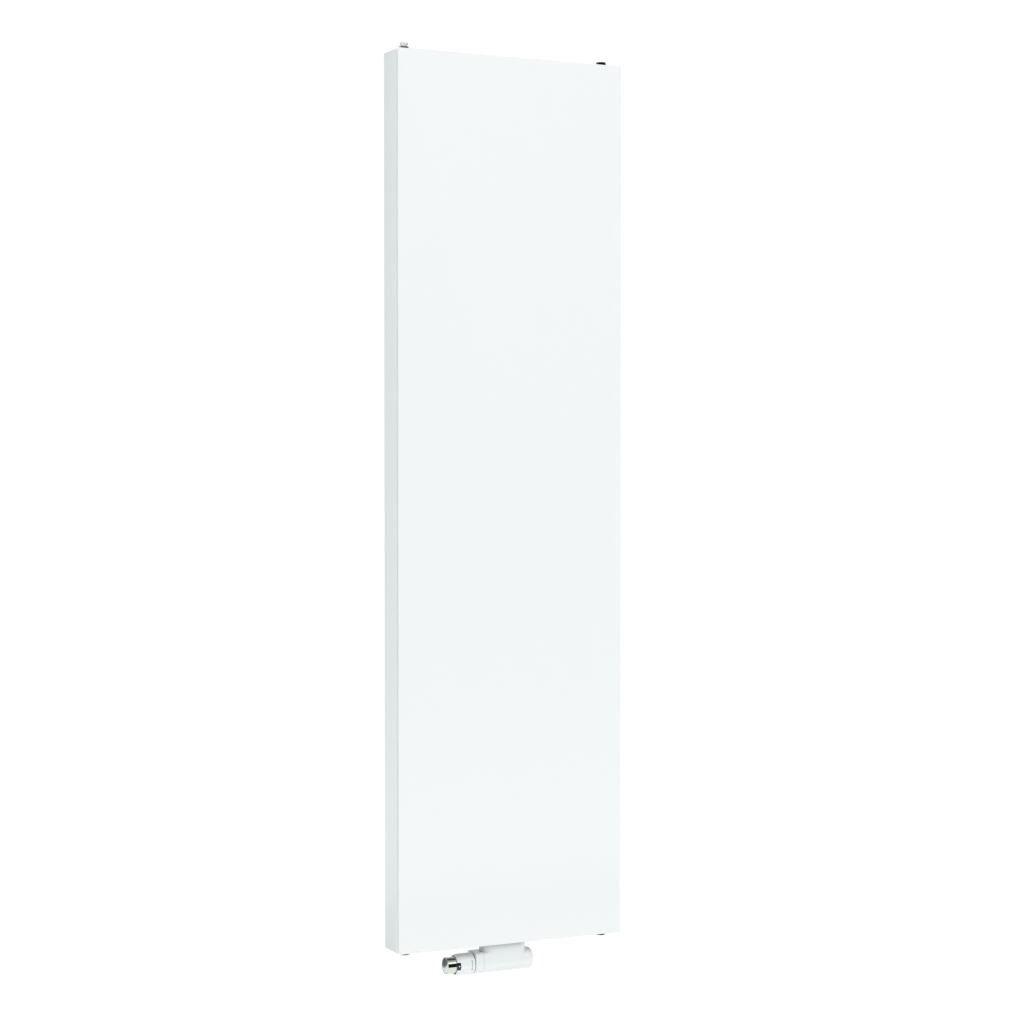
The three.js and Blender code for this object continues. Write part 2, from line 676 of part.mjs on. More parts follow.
function pipeConnector() {
  const hex = prism("y", hexagon(NUT_FLATS), CONNECTOR_START, CONNECTOR_HEX_END);
  const collar = rod("y", CONNECTOR_COLLAR, CONNECTOR_HEX_END - OVER, CONNECTOR_END, CONNECTOR_SIDES);
  const thread = rod("y", BRANCH_RADIUS + FIT, CONNECTOR_START - OVER, OUTLET_END + FIT);
  const bore = rod("y", PIPE_BORE, CONNECTOR_START, CONNECTOR_END + OVER, CONNECTOR_SIDES);
  return hex.add(collar).subtract(thread).subtract(bore);
}

for (const { name, x } of TAILS) {
  put(valve, `${name}_tail`, tailNipple(), nickel).position.x = x;
  put(valve, `${name}_union_nut`, unionNut(), nickel).position.x = x;
  put(valve, `${name}_tail_gasket`, tailGasket(), rubber).position.x = x;
  put(valve, `${name}_pipe_connector`, pipeConnector(), nickel).position.x = x;
}

// ---- Valve insert: bonnet, spindle, disc and return spring; shut-off spindle on the return ---------
const BONNET_THREAD = 14.7;
const BONNET_LEFT = -72;
const BONNET_FLANGE_LEFT = -62;
const BONNET_FLANGE = 12.4;
const BONNET_SHANK = 7.6;
const BONNET_SHANK_END = -40;
const SPRING_CHAMBER = 5.8;
const SPRING_CHAMBER_END = -54;
const SPINDLE_RADIUS = 1.8;
const SPINDLE_LEFT = -79;
const SPINDLE_RIGHT = -37.3;
const SPINDLE_COLLAR = 5;
const SPINDLE_COLLAR_X = -76;
const SPINDLE_COLLAR_THICK = 1;
const DISC_RADIUS = 5;
const DISC_THICK = 2.7;
const RETURN_SPRING = { radius: 3.6, wire: 0.55, from: -73.8, to: -55.2, turns: 5 };

const bonnet = ring("x", [
  [SPRING_CHAMBER, BONNET_LEFT],
  [BONNET_THREAD, BONNET_LEFT],
  [BONNET_THREAD, BONNET_FLANGE_LEFT],
  [BONNET_FLANGE, BONNET_FLANGE_LEFT],
  [BONNET_FLANGE, BODY_LEFT - FIT],
  [BONNET_SHANK, BODY_LEFT - FIT],
  [BONNET_SHANK, BONNET_SHANK_END],
  [SPINDLE_RADIUS + FIT, BONNET_SHANK_END],
  [SPINDLE_RADIUS + FIT, SPRING_CHAMBER_END],
  [SPRING_CHAMBER, SPRING_CHAMBER_END],
]);
const spindle = turned("x", [
  [0, SPINDLE_LEFT],
  [SPINDLE_RADIUS, SPINDLE_LEFT],
  [SPINDLE_RADIUS, SPINDLE_COLLAR_X],
  [SPINDLE_COLLAR, SPINDLE_COLLAR_X],
  [SPINDLE_COLLAR, SPINDLE_COLLAR_X + SPINDLE_COLLAR_THICK],
  [SPINDLE_RADIUS, SPINDLE_COLLAR_X + SPINDLE_COLLAR_THICK],
  [SPINDLE_RADIUS, SPINDLE_RIGHT],
  [0, SPINDLE_RIGHT],
]);
put(valve, "valve_bonnet", bonnet, brass);
put(valve, "valve_spindle", spindle, zincSteel);
const DISC_LEFT = SPINDLE_RIGHT + FIT;
put(valve, "valve_disc", rod("x", DISC_RADIUS, DISC_LEFT, DISC_LEFT + DISC_THICK), rubber);
put(valve, "spindle_spring", coilSpring(RETURN_SPRING), zincSteel);

const SHUTOFF_RADIUS = 4.6;
const SHUTOFF_LEFT = 25.5;
const SHUTOFF_FACE = 37.5;
const SHUTOFF_KEY = 5; // across the flats, and deep
const shutoffKey = prism("x", hexagon(SHUTOFF_KEY), SHUTOFF_FACE - SHUTOFF_KEY, SHUTOFF_FACE + OVER);
const shutoff = rod("x", SHUTOFF_RADIUS, SHUTOFF_LEFT, SHUTOFF_FACE).subtract(shutoffKey);
put(valve, "shutoff_spindle", shutoff, brass);

// ---- Thermostat head: clamp ring, sleeve, index, knob, sensor and carriage -------------------------
const CLAMP_OUTER = 17.4;
const CLAMP_RIM = 21;
const CLAMP_BORE = 15.2;
const CLAMP_SEAT = 6;
const CLAMP_LEFT = -82;
const CLAMP_FLOOR_RIGHT = -80;
const CLAMP_RIGHT = -62;
const clampRing = ring("x", [
  [CLAMP_SEAT, CLAMP_LEFT],
  [CLAMP_OUTER, CLAMP_LEFT],
  [CLAMP_OUTER, SLEEVE_RIGHT + FIT],
  [CLAMP_RIM, SLEEVE_RIGHT + FIT],
  [CLAMP_RIM, NECK_LEFT - FIT],
  [CLAMP_OUTER, NECK_LEFT - FIT],
  [CLAMP_OUTER, CLAMP_RIGHT],
  [CLAMP_BORE, CLAMP_RIGHT],
  [CLAMP_BORE, CLAMP_FLOOR_RIGHT],
  [CLAMP_SEAT, CLAMP_FLOOR_RIGHT],
], ROUND);
put(valve, "clamp_ring", clampRing, greyPlastic);

// Outer line of the sleeve, grown by a margin: an elliptical shoulder, then a straight barrel.
function sleeveLine(margin) {
  const SHOULDER_STEPS = 6;
  const line = Array.from({ length: SHOULDER_STEPS + 1 }, (_, i) => {
    const angle = (i * Math.PI) / 2 / SHOULDER_STEPS;
    return [
      SLEEVE_RIM + (HEAD_RADIUS - SLEEVE_RIM) * Math.sin(angle) + margin,
      SLEEVE_LEFT + SHOULDER_LENGTH * (1 - Math.cos(angle)),
    ];
  });
  return [...line, [HEAD_RADIUS + margin, SLEEVE_RIGHT]];
}

function indexZone(grow) {
  const left = SLEEVE_LEFT - grow;
  const right = SLEEVE_LEFT + INDEX_WIDTH + grow;
  const half = INDEX_HALF_HEIGHT + grow;
  return block([left, -HEAD_RADIUS - 2 * OVER, -half], [right, 0, half]);
}

// The layer between two copies of the sleeve's outer line, grown by outer and by inner.
function sleeveSkin(outer, inner) {
  const mouth = [[0, SLEEVE_LEFT - OVER], [SLEEVE_RIM + inner, SLEEVE_LEFT - OVER]];
  const outside = turned("x", [[0, SLEEVE_LEFT], ...sleeveLine(outer), [0, SLEEVE_RIGHT]], ROUND);
  const inside = turned("x", [...mouth, ...sleeveLine(inner), [0, SLEEVE_RIGHT]], ROUND);
  return outside.subtract(inside);
}

function headSleeve() {
  const shell = ring("x", [
    [SLEEVE_BORE, SLEEVE_LEFT],
    ...sleeveLine(0),
    [SLEEVE_CHAMBER, SLEEVE_RIGHT],
    [SLEEVE_CHAMBER, SLEEVE_CHAMBER_LEFT],
    [SLEEVE_BORE, SLEEVE_CHAMBER_LEFT],
  ], ROUND);
  return shell.subtract(sleeveSkin(OVER, -INDEX_THICK - FIT).intersect(indexZone(FIT)));
}

put(valve, "head_sleeve", headSleeve(), whitePlastic);

// A dark liner in the sleeve's mouth that the knob turns in.
const LINER_LEFT = -113.2;
const liner = washer(
  "x",
  SLEEVE_BORE - FIT,
  KNOB_RADIUS + FIT,
  LINER_LEFT,
  SLEEVE_CHAMBER_LEFT - FIT,
  ROUND,
);
put(valve, "sleeve_liner", liner, blackPlastic);
put(valve, "index_window", sleeveSkin(INDEX_PROUD, -INDEX_THICK).intersect(indexZone(0)), blackPlastic);

const KNOB_RIM = 1.2;
const KNOB_WALL = 3;
const KNOB_FLANGE_LEFT = -102.5;
const KNOB_FLANGE = 19.3;
const KNOB_FLOOR = KNOB_LEFT + 2.3;
const knob = turned("x", [
  [0, KNOB_FLOOR],
  [KNOB_RADIUS - KNOB_RIM, KNOB_FLOOR],
  [KNOB_RADIUS - KNOB_RIM, KNOB_LEFT],
  [KNOB_RADIUS - KNOB_RIM / 2, KNOB_LEFT],
  [KNOB_RADIUS, KNOB_LEFT + KNOB_RIM / 2],
  [KNOB_RADIUS, KNOB_FLANGE_LEFT],
  [KNOB_FLANGE, KNOB_FLANGE_LEFT],
  [KNOB_FLANGE, KNOB_RIGHT],
  [KNOB_RADIUS - KNOB_WALL, KNOB_RIGHT],
  [KNOB_RADIUS - KNOB_WALL, KNOB_FLOOR + KNOB_WALL],
  [0, KNOB_FLOOR + KNOB_WALL],
], ROUND);
put(valve, "knob", knob, chrome);

// A dished disc let into the knob's end.
const FACE_RADIUS = KNOB_RADIUS - KNOB_RIM - FIT;
const FACE_RECESS = 0.5;
const FACE_DISH = 1.1;
const DISH_STEPS = 4;
const dish = Array.from({ length: DISH_STEPS + 1 }, (_, i) => {
  const share = 1 - i / DISH_STEPS;
  return [FACE_RADIUS * share, KNOB_LEFT + FACE_RECESS + FACE_DISH * (1 - share * share)];
});
const knobFace = turned("x", [
  [0, KNOB_FLOOR - FIT],
  [FACE_RADIUS, KNOB_FLOOR - FIT],
  ...dish,
], ROUND);
put(valve, "knob_face", knobFace, chrome);

const SENSOR_RADIUS = 12;
const SENSOR_LEFT = -122;
const CARRIAGE_LEFT = -99;
const CARRIAGE_DISC = 3;
const CARRIAGE_STEM = 4;
const OVERRUN_SPRING = { radius: 8, wire: 0.8, from: -92.8, to: -83.4, turns: 4 };
const carriage = turned("x", [
  [0, CARRIAGE_LEFT],
  [SENSOR_RADIUS, CARRIAGE_LEFT],
  [SENSOR_RADIUS, CARRIAGE_LEFT + CARRIAGE_DISC],
  [CARRIAGE_STEM, CARRIAGE_LEFT + CARRIAGE_DISC],
  [CARRIAGE_STEM, SPINDLE_LEFT - FIT],
  [0, SPINDLE_LEFT - FIT],
]);
put(valve, "sensor_capsule", rod("x", SENSOR_RADIUS, SENSOR_LEFT, CARRIAGE_LEFT - FIT), zincSteel);
put(valve, "sensor_carriage", carriage, greyPlastic);
put(valve, "overrun_spring", coilSpring(OVERRUN_SPRING), zincSteel);

// ---- Covers: neck ring and the saddle cover over the valve body -----------------------------------
// A crown as (y, z): straight up from the widest line, then over rounded corners to a flat top.
function crownOutline(radius, top) {
  const corners = [[radius, 0], [radius, top], [-radius, top], [-radius, 0]];
  return filleted(corners, [0, NECK_CORNER, NECK_CORNER, 0]);
}

// Bottom half a circle, top half a crown, as (y, z).
function neckOutline(radius, top) {
  const ARC_STEPS = 16;
  const bottom = Array.from({ length: ARC_STEPS + 1 }, (_, i) => {
    const angle = Math.PI + (i * Math.PI) / ARC_STEPS;
    return [radius * Math.cos(angle), radius * Math.sin(angle)];
  });
  return [...bottom, ...crownOutline(radius, top).slice(1, -1)];
}

const neck = prism("x", neckOutline(HEAD_RADIUS, NECK_TOP), NECK_LEFT, NECK_RIGHT);
const neckBore = rod("x", NECK_BORE, NECK_LEFT - OVER, NECK_RIGHT + OVER, ROUND);
put(valve, "neck_ring", neck.subtract(neckBore), whitePlastic);

// The cover's solid form, shrunk by inset: a round-ended barrel, a crown that carries on from the
// neck ring, and a stadium that rises from them.
function coverForm(inset, left, top) {
  const END_STEPS = 5;
  const radius = HEAD_RADIUS - inset;
  const right = COVER_RIGHT - inset;
  const round = COVER_ROUND - inset;
  const end = Array.from({ length: END_STEPS + 1 }, (_, i) => {
    const angle = (i * Math.PI) / 2 / END_STEPS;
    return [radius - round * (1 - Math.cos(angle)), right - round * (1 - Math.sin(angle))];
  });
  const barrel = turned("x", [[0, left], [radius, left], ...end, [0, right]], ROUND);
  const STADIUM_STEPS = 16;
  const stadium = [];
  for (const side of [1, -1]) {
    for (let i = 0; i <= STADIUM_STEPS; i += 1) {
      const angle = (-side * Math.PI) / 2 + (i * Math.PI) / STADIUM_STEPS;
      const centre = VALVE_X + side * COVER_HALF_SPAN;
      stadium.push([centre + radius * Math.cos(angle), radius * Math.sin(angle)]);
    }
  }
  const section = crownOutline(radius, NECK_TOP - inset);
  const crown = prism("x", section, left, VALVE_X - COVER_HALF_SPAN);
  return joined([barrel, crown, prism("z", stadium, 0, top)]);
}

function valveCover() {
  const hollow = coverForm(COVER_WALL, COVER_LEFT - OVER, COVER_TOP + OVER);
  const back = block(
    [COVER_BACK_LEFT, COVER_BACK_Y, -HEAD_RADIUS - OVER],
    [COVER_BACK_RIGHT, HEAD_RADIUS + OVER, COVER_TOP + OVER],
  );
  return coverForm(0, COVER_LEFT, COVER_TOP).subtract(hollow).subtract(back);
}

put(valve, "valve_cover", valveCover(), whitePlastic);

export default radiator;
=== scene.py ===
"""Visual model of the radiator with valve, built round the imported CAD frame. Metres, +Z up, front -Y."""

import math

import bmesh
import bpy
from mathutils import Matrix, Vector


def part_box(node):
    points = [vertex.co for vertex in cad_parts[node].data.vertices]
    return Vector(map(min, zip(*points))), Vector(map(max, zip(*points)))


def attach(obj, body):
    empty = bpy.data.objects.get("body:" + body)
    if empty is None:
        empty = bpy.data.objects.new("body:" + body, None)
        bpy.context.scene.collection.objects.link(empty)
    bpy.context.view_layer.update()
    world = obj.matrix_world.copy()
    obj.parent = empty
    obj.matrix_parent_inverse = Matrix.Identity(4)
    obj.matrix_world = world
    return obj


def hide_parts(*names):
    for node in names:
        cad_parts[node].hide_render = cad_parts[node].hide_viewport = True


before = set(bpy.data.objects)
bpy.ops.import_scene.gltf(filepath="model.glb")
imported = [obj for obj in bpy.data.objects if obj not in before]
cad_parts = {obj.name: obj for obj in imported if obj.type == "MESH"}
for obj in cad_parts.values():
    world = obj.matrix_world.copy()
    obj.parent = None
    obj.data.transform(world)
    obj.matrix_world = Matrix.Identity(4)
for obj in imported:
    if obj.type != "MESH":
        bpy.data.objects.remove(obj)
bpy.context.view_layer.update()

MM = 0.001
LATHE_SIDES = 96
SMOOTH_BELOW = math.radians(32)

# ---- Camera --------
CAMERA_AT = (-1.93555, -4.17313, 0.08386)
CAMERA_YAW = math.radians(25.438)
CAMERA_PITCH = math.radians(-1.321)
CAMERA_LENS = 78.03

camera_data = bpy.data.cameras.new("camera")
camera_data.lens = CAMERA_LENS
camera_data.sensor_width = 36
camera_data.clip_end = 200
camera = bpy.data.objects.new("camera", camera_data)
camera.location = CAMERA_AT
camera.rotation_euler = (math.pi / 2 + CAMERA_PITCH, 0, -CAMERA_YAW)
bpy.context.scene.collection.objects.link(camera)
bpy.context.scene.camera = camera
bpy.context.scene.view_settings.view_transform = "Standard"
bpy.context.scene.view_settings.look = "None"


# ---- Material helpers --------
class Nodes:
    """Adds nodes to one material or world tree, and links them by socket."""

    def __init__(self, owner):
        owner.use_nodes = True
        self.tree = owner.node_tree
        self.tree.nodes.clear()

    def add(self, kind, values=None, **settings):
        node = self.tree.nodes.new(kind)
        for key, value in settings.items():
            setattr(node, key, value)
        for key, value in (values or {}).items():
            if isinstance(value, bpy.types.NodeSocket):
                self.tree.links.new(value, node.inputs[key])
            else:
                node.inputs[key].default_value = value
        return node

    def math(self, operation, a, b=0.0):
        return self.add("ShaderNodeMath", {0: a, 1: b}, operation=operation).outputs[0]

    def ramp(self, value, low, high, to_low=0.0, to_high=1.0):
        values = {"Value": value, "From Min": low, "From Max": high, "To Min": to_low, "To Max": to_high}
        return self.add("ShaderNodeMapRange", values, interpolation_type="SMOOTHSTEP").outputs[0]

    def noise(self, vector, scale, detail=3.0, roughness=0.55):
        values = {"Vector": vector, "Scale": scale, "Detail": detail, "Roughness": roughness}
        return self.add("ShaderNodeTexNoise", values).outputs["Fac"]

    def mix(self, share, a, b):
        node = self.add("ShaderNodeMix", data_type="RGBA")
        for socket, value in ((node.inputs[0], share), (node.inputs[6], a), (node.inputs[7], b)):
            if isinstance(value, bpy.types.NodeSocket):
                self.tree.links.new(value, socket)
            else:
                socket.default_value = value
        return node.outputs[2]


def shade(colour, factor):
    return (*[min(1.0, c * factor) for c in colour], 1.0)


COAT_ROUGHNESS = 0.12
FINE_GRAIN = 14  # how much finer the roughness varies than the colour


def finished(name, colour, roughness, metallic=0.0, vary=0.02, patch=6.0, rough_vary=0.05,
             bump_scale=0.0, bump_depth=0.0, stretch=(1, 1, 1), rings=None, coat=0.0, anisotropic=0.0):
    """A principled material with uneven colour and roughness, and a fine relief of bump_depth metres."""
    made = bpy.data.materials.new(name)
    n = Nodes(made)
    place = n.add("ShaderNodeTexCoord").outputs["Object"]
    patches = n.noise(place, patch, 4.0)
    fine = n.noise(place, patch * FINE_GRAIN, 5.0, 0.65)
    colours = n.mix(patches, shade(colour, 1 - vary), shade(colour, 1 + vary))
    rough = n.ramp(fine, 0.3, 0.7, max(0.02, roughness - rough_vary), roughness + rough_vary)
    values = {"Base Color": colours, "Roughness": rough, "Metallic": metallic,
              "Coat Weight": coat, "Coat Roughness": COAT_ROUGHNESS, "Anisotropic": anisotropic}
    if anisotropic:
        spin = n.add("ShaderNodeTangent", direction_type="RADIAL", axis=rings.axis.upper())
        values["Tangent"] = spin.outputs[0]
    if bump_depth:
        mapped = n.add("ShaderNodeMapping", {"Vector": place, "Scale": stretch}).outputs[0]
        relief = n.noise(mapped, bump_scale, 2.0, 0.5)
        if rings:
            relief = n.math("ADD", relief, n.math("SINE", n.math("MULTIPLY", rings(n, place), rings.rate)))
        bump = n.add("ShaderNodeBump", {"Height": relief, "Distance": bump_depth, "Strength": 1.0})
        values["Normal"] = bump.outputs[0]
    principled = n.add("ShaderNodeBsdfPrincipled", values)
    n.add("ShaderNodeOutputMaterial", {"Surface": principled.outputs[0]})
    return made


class Turned:
    """Fine machining marks: rings about an axis through a point, spaced by pitch, or rings along it."""

    def __init__(self, axis, through, pitch, along=False):
        self.axis, self.through, self.along = axis, through, along
        self.rate = 2 * math.pi / pitch

    def __call__(self, n, place):
        shift = n.add("ShaderNodeVectorMath", {0: place, 1: tuple(self.through)}, operation="SUBTRACT")
        if self.along:
            split = n.add("ShaderNodeSeparateXYZ", {0: shift.outputs[0]})
            return split.outputs["xyz".index(self.axis)]
        flat = tuple(0.0 if letter == self.axis else 1.0 for letter in "xyz")
        across = n.add("ShaderNodeVectorMath", {0: shift.outputs[0], 1: flat}, operation="MULTIPLY")
        return n.add("ShaderNodeVectorMath", {0: across.outputs[0]}, operation="LENGTH").outputs["Value"]


# ---- Shape helpers --------
def rounded(points, radii, steps=5):
    """A polyline with its corners turned into arcs. radii has one value for each point, 0 for a sharp one."""
    line = []
    for i, point in enumerate(points):
        if not radii[i]:
            line.append(tuple(point))
            continue
        corner = Vector(point)
        before = Vector(points[i - 1]) - corner
        after = Vector(points[(i + 1) % len(points)]) - corner
        u, v = before.normalized(), after.normalized()
        half = u.angle(v) / 2
        reach = min(radii[i] / math.tan(half), 0.499 * before.length, 0.499 * after.length)
        radius = reach * math.tan(half)
        centre = corner + (u + v).normalized() * (radius / math.sin(half))
        start, end = corner + u * reach - centre, corner + v * reach - centre
        for k in range(steps + 1):
            spoke = start.slerp(end, k / steps, start).normalized() * radius
            line.append(tuple(centre + spoke))
    return line


def sheet_sides(path, thickness):
    """The two sides of a sheet that follows a 2-D path, as equal lists of points."""
    path = [Vector(p) for p in path]
    normals = []
    for a, b in zip(path, path[1:]):
        step = (b - a).normalized()
        normals.append(Vector((-step.y, step.x)))
    sides = ([], [])
    for i, p in enumerate(path):
        mitre = normals[max(i - 1, 0)] + normals[min(i, len(normals) - 1)]
        offset = mitre * (thickness / mitre.length_squared)
        sides[0].append(p + offset)
        sides[1].append(p - offset)
    return sides


def from_axis(axis, u, v, along):
    """A point from its two places across an axis and its place along it."""
    return {"x": (along, u, v), "y": (u, along, v), "z": (u, v, along)}[axis]


def build(name, vertices, faces):
    mesh = bpy.data.meshes.new(name)
    mesh.from_pydata([tuple(v) for v in vertices], [], faces)
    obj = bpy.data.objects.new(name, mesh)
    bpy.context.scene.collection.objects.link(obj)
    return obj


def lofted(name, rows, close_rows=False, close_loop=False, cap=False):
    """A mesh of quads through rows of points, with an optional flat cap on the first and last row."""
    width = len(rows[0])
    vertices = [p for row in rows for p in row]
    faces = []
    for i in range(len(rows) - (0 if close_rows else 1)):
        below, above = i * width, (i + 1) % len(rows) * width
        for j in range(width - (0 if close_loop else 1)):
            k = (j + 1) % width
            faces.append((below + j, below + k, above + k, above + j))
    if cap:
        faces.append(tuple(range(width)))
        faces.append(tuple(range((len(rows) - 1) * width, len(rows) * width)))
    return build(name, vertices, faces)


def turned(name, axis, centre, profile, sides=LATHE_SIDES, ring=False):
    """A body of revolution from (radius, along) points, from pole to pole, or a closed ring section."""
    centre = Vector(centre)
    vertices, rings, faces = [], [], []
    for radius, along in profile:
        if radius < 1e-9:
            rings.append([len(vertices)] * sides)
            vertices.append(centre + Vector(from_axis(axis, 0, 0, along)))
            continue
        rings.append(list(range(len(vertices), len(vertices) + sides)))
        for k in range(sides):
            angle = 2 * math.pi * k / sides
            spoke = from_axis(axis, radius * math.cos(angle), radius * math.sin(angle), along)
            vertices.append(centre + Vector(spoke))
    pairs = list(zip(rings, rings[1:])) + ([(rings[-1], rings[0])] if ring else [])
    for low, high in pairs:
        for k in range(sides):
            j = (k + 1) % sides
            corners = dict.fromkeys((low[k], low[j], high[j], high[k]))
            if len(corners) > 2:
                faces.append(tuple(corners))
    return build(name, vertices, faces)


def rod_profile(radius, start, end):
    """The profile of a plain solid rod, for turned()."""
    return [(0, start), (radius, start), (radius, end), (0, end)]


def prism(name, axis, outline, start, end):
    """A closed outline across an axis, pushed along it."""
    rows = [[from_axis(axis, u, v, along) for u, v in outline] for along in (start, end)]
    return lofted(name, rows, close_loop=True, cap=True)


def sheet_prism(name, axis, path, thickness, start, end):
    """A bent sheet: a path across an axis, pushed along it."""
    left, right = sheet_sides(path, thickness)
    rows = []
    for a, b in zip(left, right):
        corners = ((a, start), (b, start), (b, end), (a, end))
        rows.append([from_axis(axis, p[0], p[1], along) for p, along in corners])
    return lofted(name, rows, close_loop=True, cap=True)


def apply_modifiers(obj):
    graph = bpy.context.evaluated_depsgraph_get()
    graph.update()
    mesh = bpy.data.meshes.new_from_object(obj.evaluated_get(graph))
    obj.modifiers.clear()
    obj.data = mesh
    return obj


def bevelled(obj, width, segments=2, angle=math.radians(35)):
    bevel = obj.modifiers.new("bevel", "BEVEL")
    bevel.width = width
    bevel.segments = segments
    bevel.limit_method = "ANGLE"
    bevel.angle_limit = angle
    bevel.use_clamp_overlap = True
    return apply_modifiers(obj)


def combine(obj, others, operation):
    """Joins solids to obj, or cuts them from it, and removes them."""
    for other in others:
        modifier = obj.modifiers.new("boolean", "BOOLEAN")
        modifier.operation = operation
        modifier.solver = "EXACT"
        modifier.object = other
        apply_modifiers(obj)
        bpy.data.objects.remove(other)
    return obj


def outward(obj):
    """Welds doubled points and turns the faces out."""
    work = bmesh.new()
    work.from_mesh(obj.data)
    bmesh.ops.remove_doubles(work, verts=work.verts, dist=1e-7)
    bmesh.ops.recalc_face_normals(work, faces=work.faces)
    work.to_mesh(obj.data)
    work.free()
    return obj


def piece(obj, material, body, slot, *nodes):
    """Finishes a piece: normals, soft shading on shallow edges, material, body, what it stands for."""
    outward(obj)
    work = bmesh.new()
    work.from_mesh(obj.data)
    for face in work.faces:
        face.smooth = True
    for edge in work.edges:
        edge.smooth = len(edge.link_faces) == 2 and edge.calc_face_angle() < SMOOTH_BELOW
    work.to_mesh(obj.data)
    work.free()
    obj.data.materials.clear()
    obj.data.materials.append(material)
    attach(obj, body)
    if nodes:
        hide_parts(*nodes)
    return obj


def centre_of(node):
    low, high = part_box(node)
    return (low + high) / 2


# ---- Places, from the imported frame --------
PLATE_LOW, PLATE_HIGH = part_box("front_plate")
HALF_WIDTH = PLATE_HIGH.x
TOP = PLATE_HIGH.z
FRONT_Y = PLATE_LOW.y
VALVE = centre_of("sensor_capsule")
VALVE.x = 0
KNOB_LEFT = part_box("knob")[0].x
KNOB_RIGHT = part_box("knob")[1].x
SLEEVE_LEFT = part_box("head_sleeve")[0].x
SLEEVE_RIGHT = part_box("head_sleeve")[1].x
NECK_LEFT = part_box("neck_ring")[0].x
COVER_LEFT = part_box("valve_cover")[0].x
COVER_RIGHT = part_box("valve_cover")[1].x
HEAD_RADIUS = VALVE.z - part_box("valve_cover")[0].z
MID_Y = VALVE.y

# ---- Materials --------
PAINT = (0.845, 0.85, 0.855)
PLASTIC = (0.79, 0.81, 0.812)
CHROME = (0.68, 0.71, 0.63)
NICKEL = (0.46, 0.47, 0.42)
DARK_NICKEL = (0.10, 0.11, 0.115)
ZINC = (0.55, 0.56, 0.57)
BRASS = (0.62, 0.44, 0.19)

white_paint = finished("white_paint", PAINT, 0.36, vary=0.006, patch=2.5, rough_vary=0.04,
                       bump_scale=420, bump_depth=0.00003)
white_plastic = finished("white_plastic", PLASTIC, 0.18, vary=0.006, patch=20, rough_vary=0.03,
                         bump_scale=900, bump_depth=0.000006, coat=0.3)
chrome_barrel = finished("chrome_barrel", CHROME, 0.09, 1.0, vary=0.03, patch=60, rough_vary=0.03,
                         bump_scale=500, bump_depth=0.0000012,
                         rings=Turned("x", VALVE, 0.0004, along=True))
chrome_face = finished("chrome_face", CHROME, 0.11, 1.0, vary=0.03, patch=60, rough_vary=0.02,
                       bump_scale=500, bump_depth=0.0000012, rings=Turned("x", VALVE, 0.00035),
                       anisotropic=0.3)
nickel = finished("nickel", NICKEL, 0.24, 1.0, vary=0.05, patch=80, rough_vary=0.06,
                  bump_scale=700, bump_depth=0.000008)
dark_nickel = finished("dark_nickel", DARK_NICKEL, 0.22, 1.0, vary=0.08, patch=80, rough_vary=0.06,
                       bump_scale=700, bump_depth=0.000006)
zinc = finished("zinc", ZINC, 0.4, 1.0, vary=0.12, patch=55, rough_vary=0.08,
                bump_scale=260, bump_depth=0.00002, stretch=(1, 1, 0.15))
steel = finished("steel", (0.5, 0.5, 0.49), 0.3, 1.0, vary=0.06, patch=90, rough_vary=0.06,
                 bump_scale=900, bump_depth=0.000006, stretch=(0.2, 1, 1))
brass = finished("brass", BRASS, 0.3, 1.0, vary=0.08, patch=70, rough_vary=0.07,
                 bump_scale=800, bump_depth=0.000008)
black_plastic = finished("black_plastic", (0.012, 0.013, 0.014), 0.18, vary=0.2, patch=90,
                         rough_vary=0.05, bump_scale=900, bump_depth=0.000004, coat=0.4)
grey_plastic = finished("grey_plastic", (0.09, 0.1, 0.105), 0.45, vary=0.1, patch=70, rough_vary=0.06,
                        bump_scale=1500, bump_depth=0.00001)
dark_grey_plastic = finished("dark_grey_plastic", (0.02, 0.023, 0.025), 0.5, vary=0.1, patch=70,
                             rough_vary=0.06, bump_scale=1500, bump_depth=0.00001)
rubber = finished("rubber", (0.02, 0.02, 0.02), 0.7, vary=0.25, patch=120, rough_vary=0.1,
                  bump_scale=1600, bump_depth=0.00002)
print_grey = finished("print_grey", (0.06, 0.065, 0.07), 0.4, vary=0.08, patch=300, rough_vary=0.05)
print_white = finished("print_white", (0.82, 0.83, 0.83), 0.4, vary=0.02, patch=300, rough_vary=0.05)


# ---- Front plate: one sheet, bent round at its rim --------
PLATE_SHEET = 1.2 * MM
PLATE_BEND = 1.6 * MM
PLATE_CORNER = 3.2 * MM
PLATE_LIP = 0.3 * MM  # rounding of the rim's back edge
PLATE_INNER_BEND = 0.4 * MM
BEND_STEPS = 6


def plate_loop(inset, y):
    """A rounded rectangle inside the plate's outline."""
    x, z = HALF_WIDTH - inset, TOP - inset
    corners = [(-x, -z), (x, -z), (x, z), (-x, z)]
    radius = max(PLATE_CORNER - inset, 0.8 * MM)
    return [(u, y, v) for u, v in rounded(corners, [radius] * 4, 6)]


def front_plate():
    back = PLATE_HIGH.y
    rows = []
    for i in range(BEND_STEPS + 1):
        angle = math.pi / 2 * i / BEND_STEPS
        inset = PLATE_BEND * (1 - math.sin(angle))
        rows.append(plate_loop(inset, FRONT_Y + PLATE_BEND * (1 - math.cos(angle))))
    rows.append(plate_loop(0, back - PLATE_LIP))
    rows.append(plate_loop(PLATE_LIP, back))
    rows.append(plate_loop(PLATE_SHEET, back))
    rows.append(plate_loop(PLATE_SHEET, FRONT_Y + PLATE_SHEET + PLATE_INNER_BEND))
    rows.append(plate_loop(PLATE_SHEET + PLATE_INNER_BEND, FRONT_Y + PLATE_SHEET))
    return lofted("front_plate_sheet", rows, close_loop=True, cap=True)


piece(front_plate(), white_paint, "radiator", "white_paint", "front_plate")

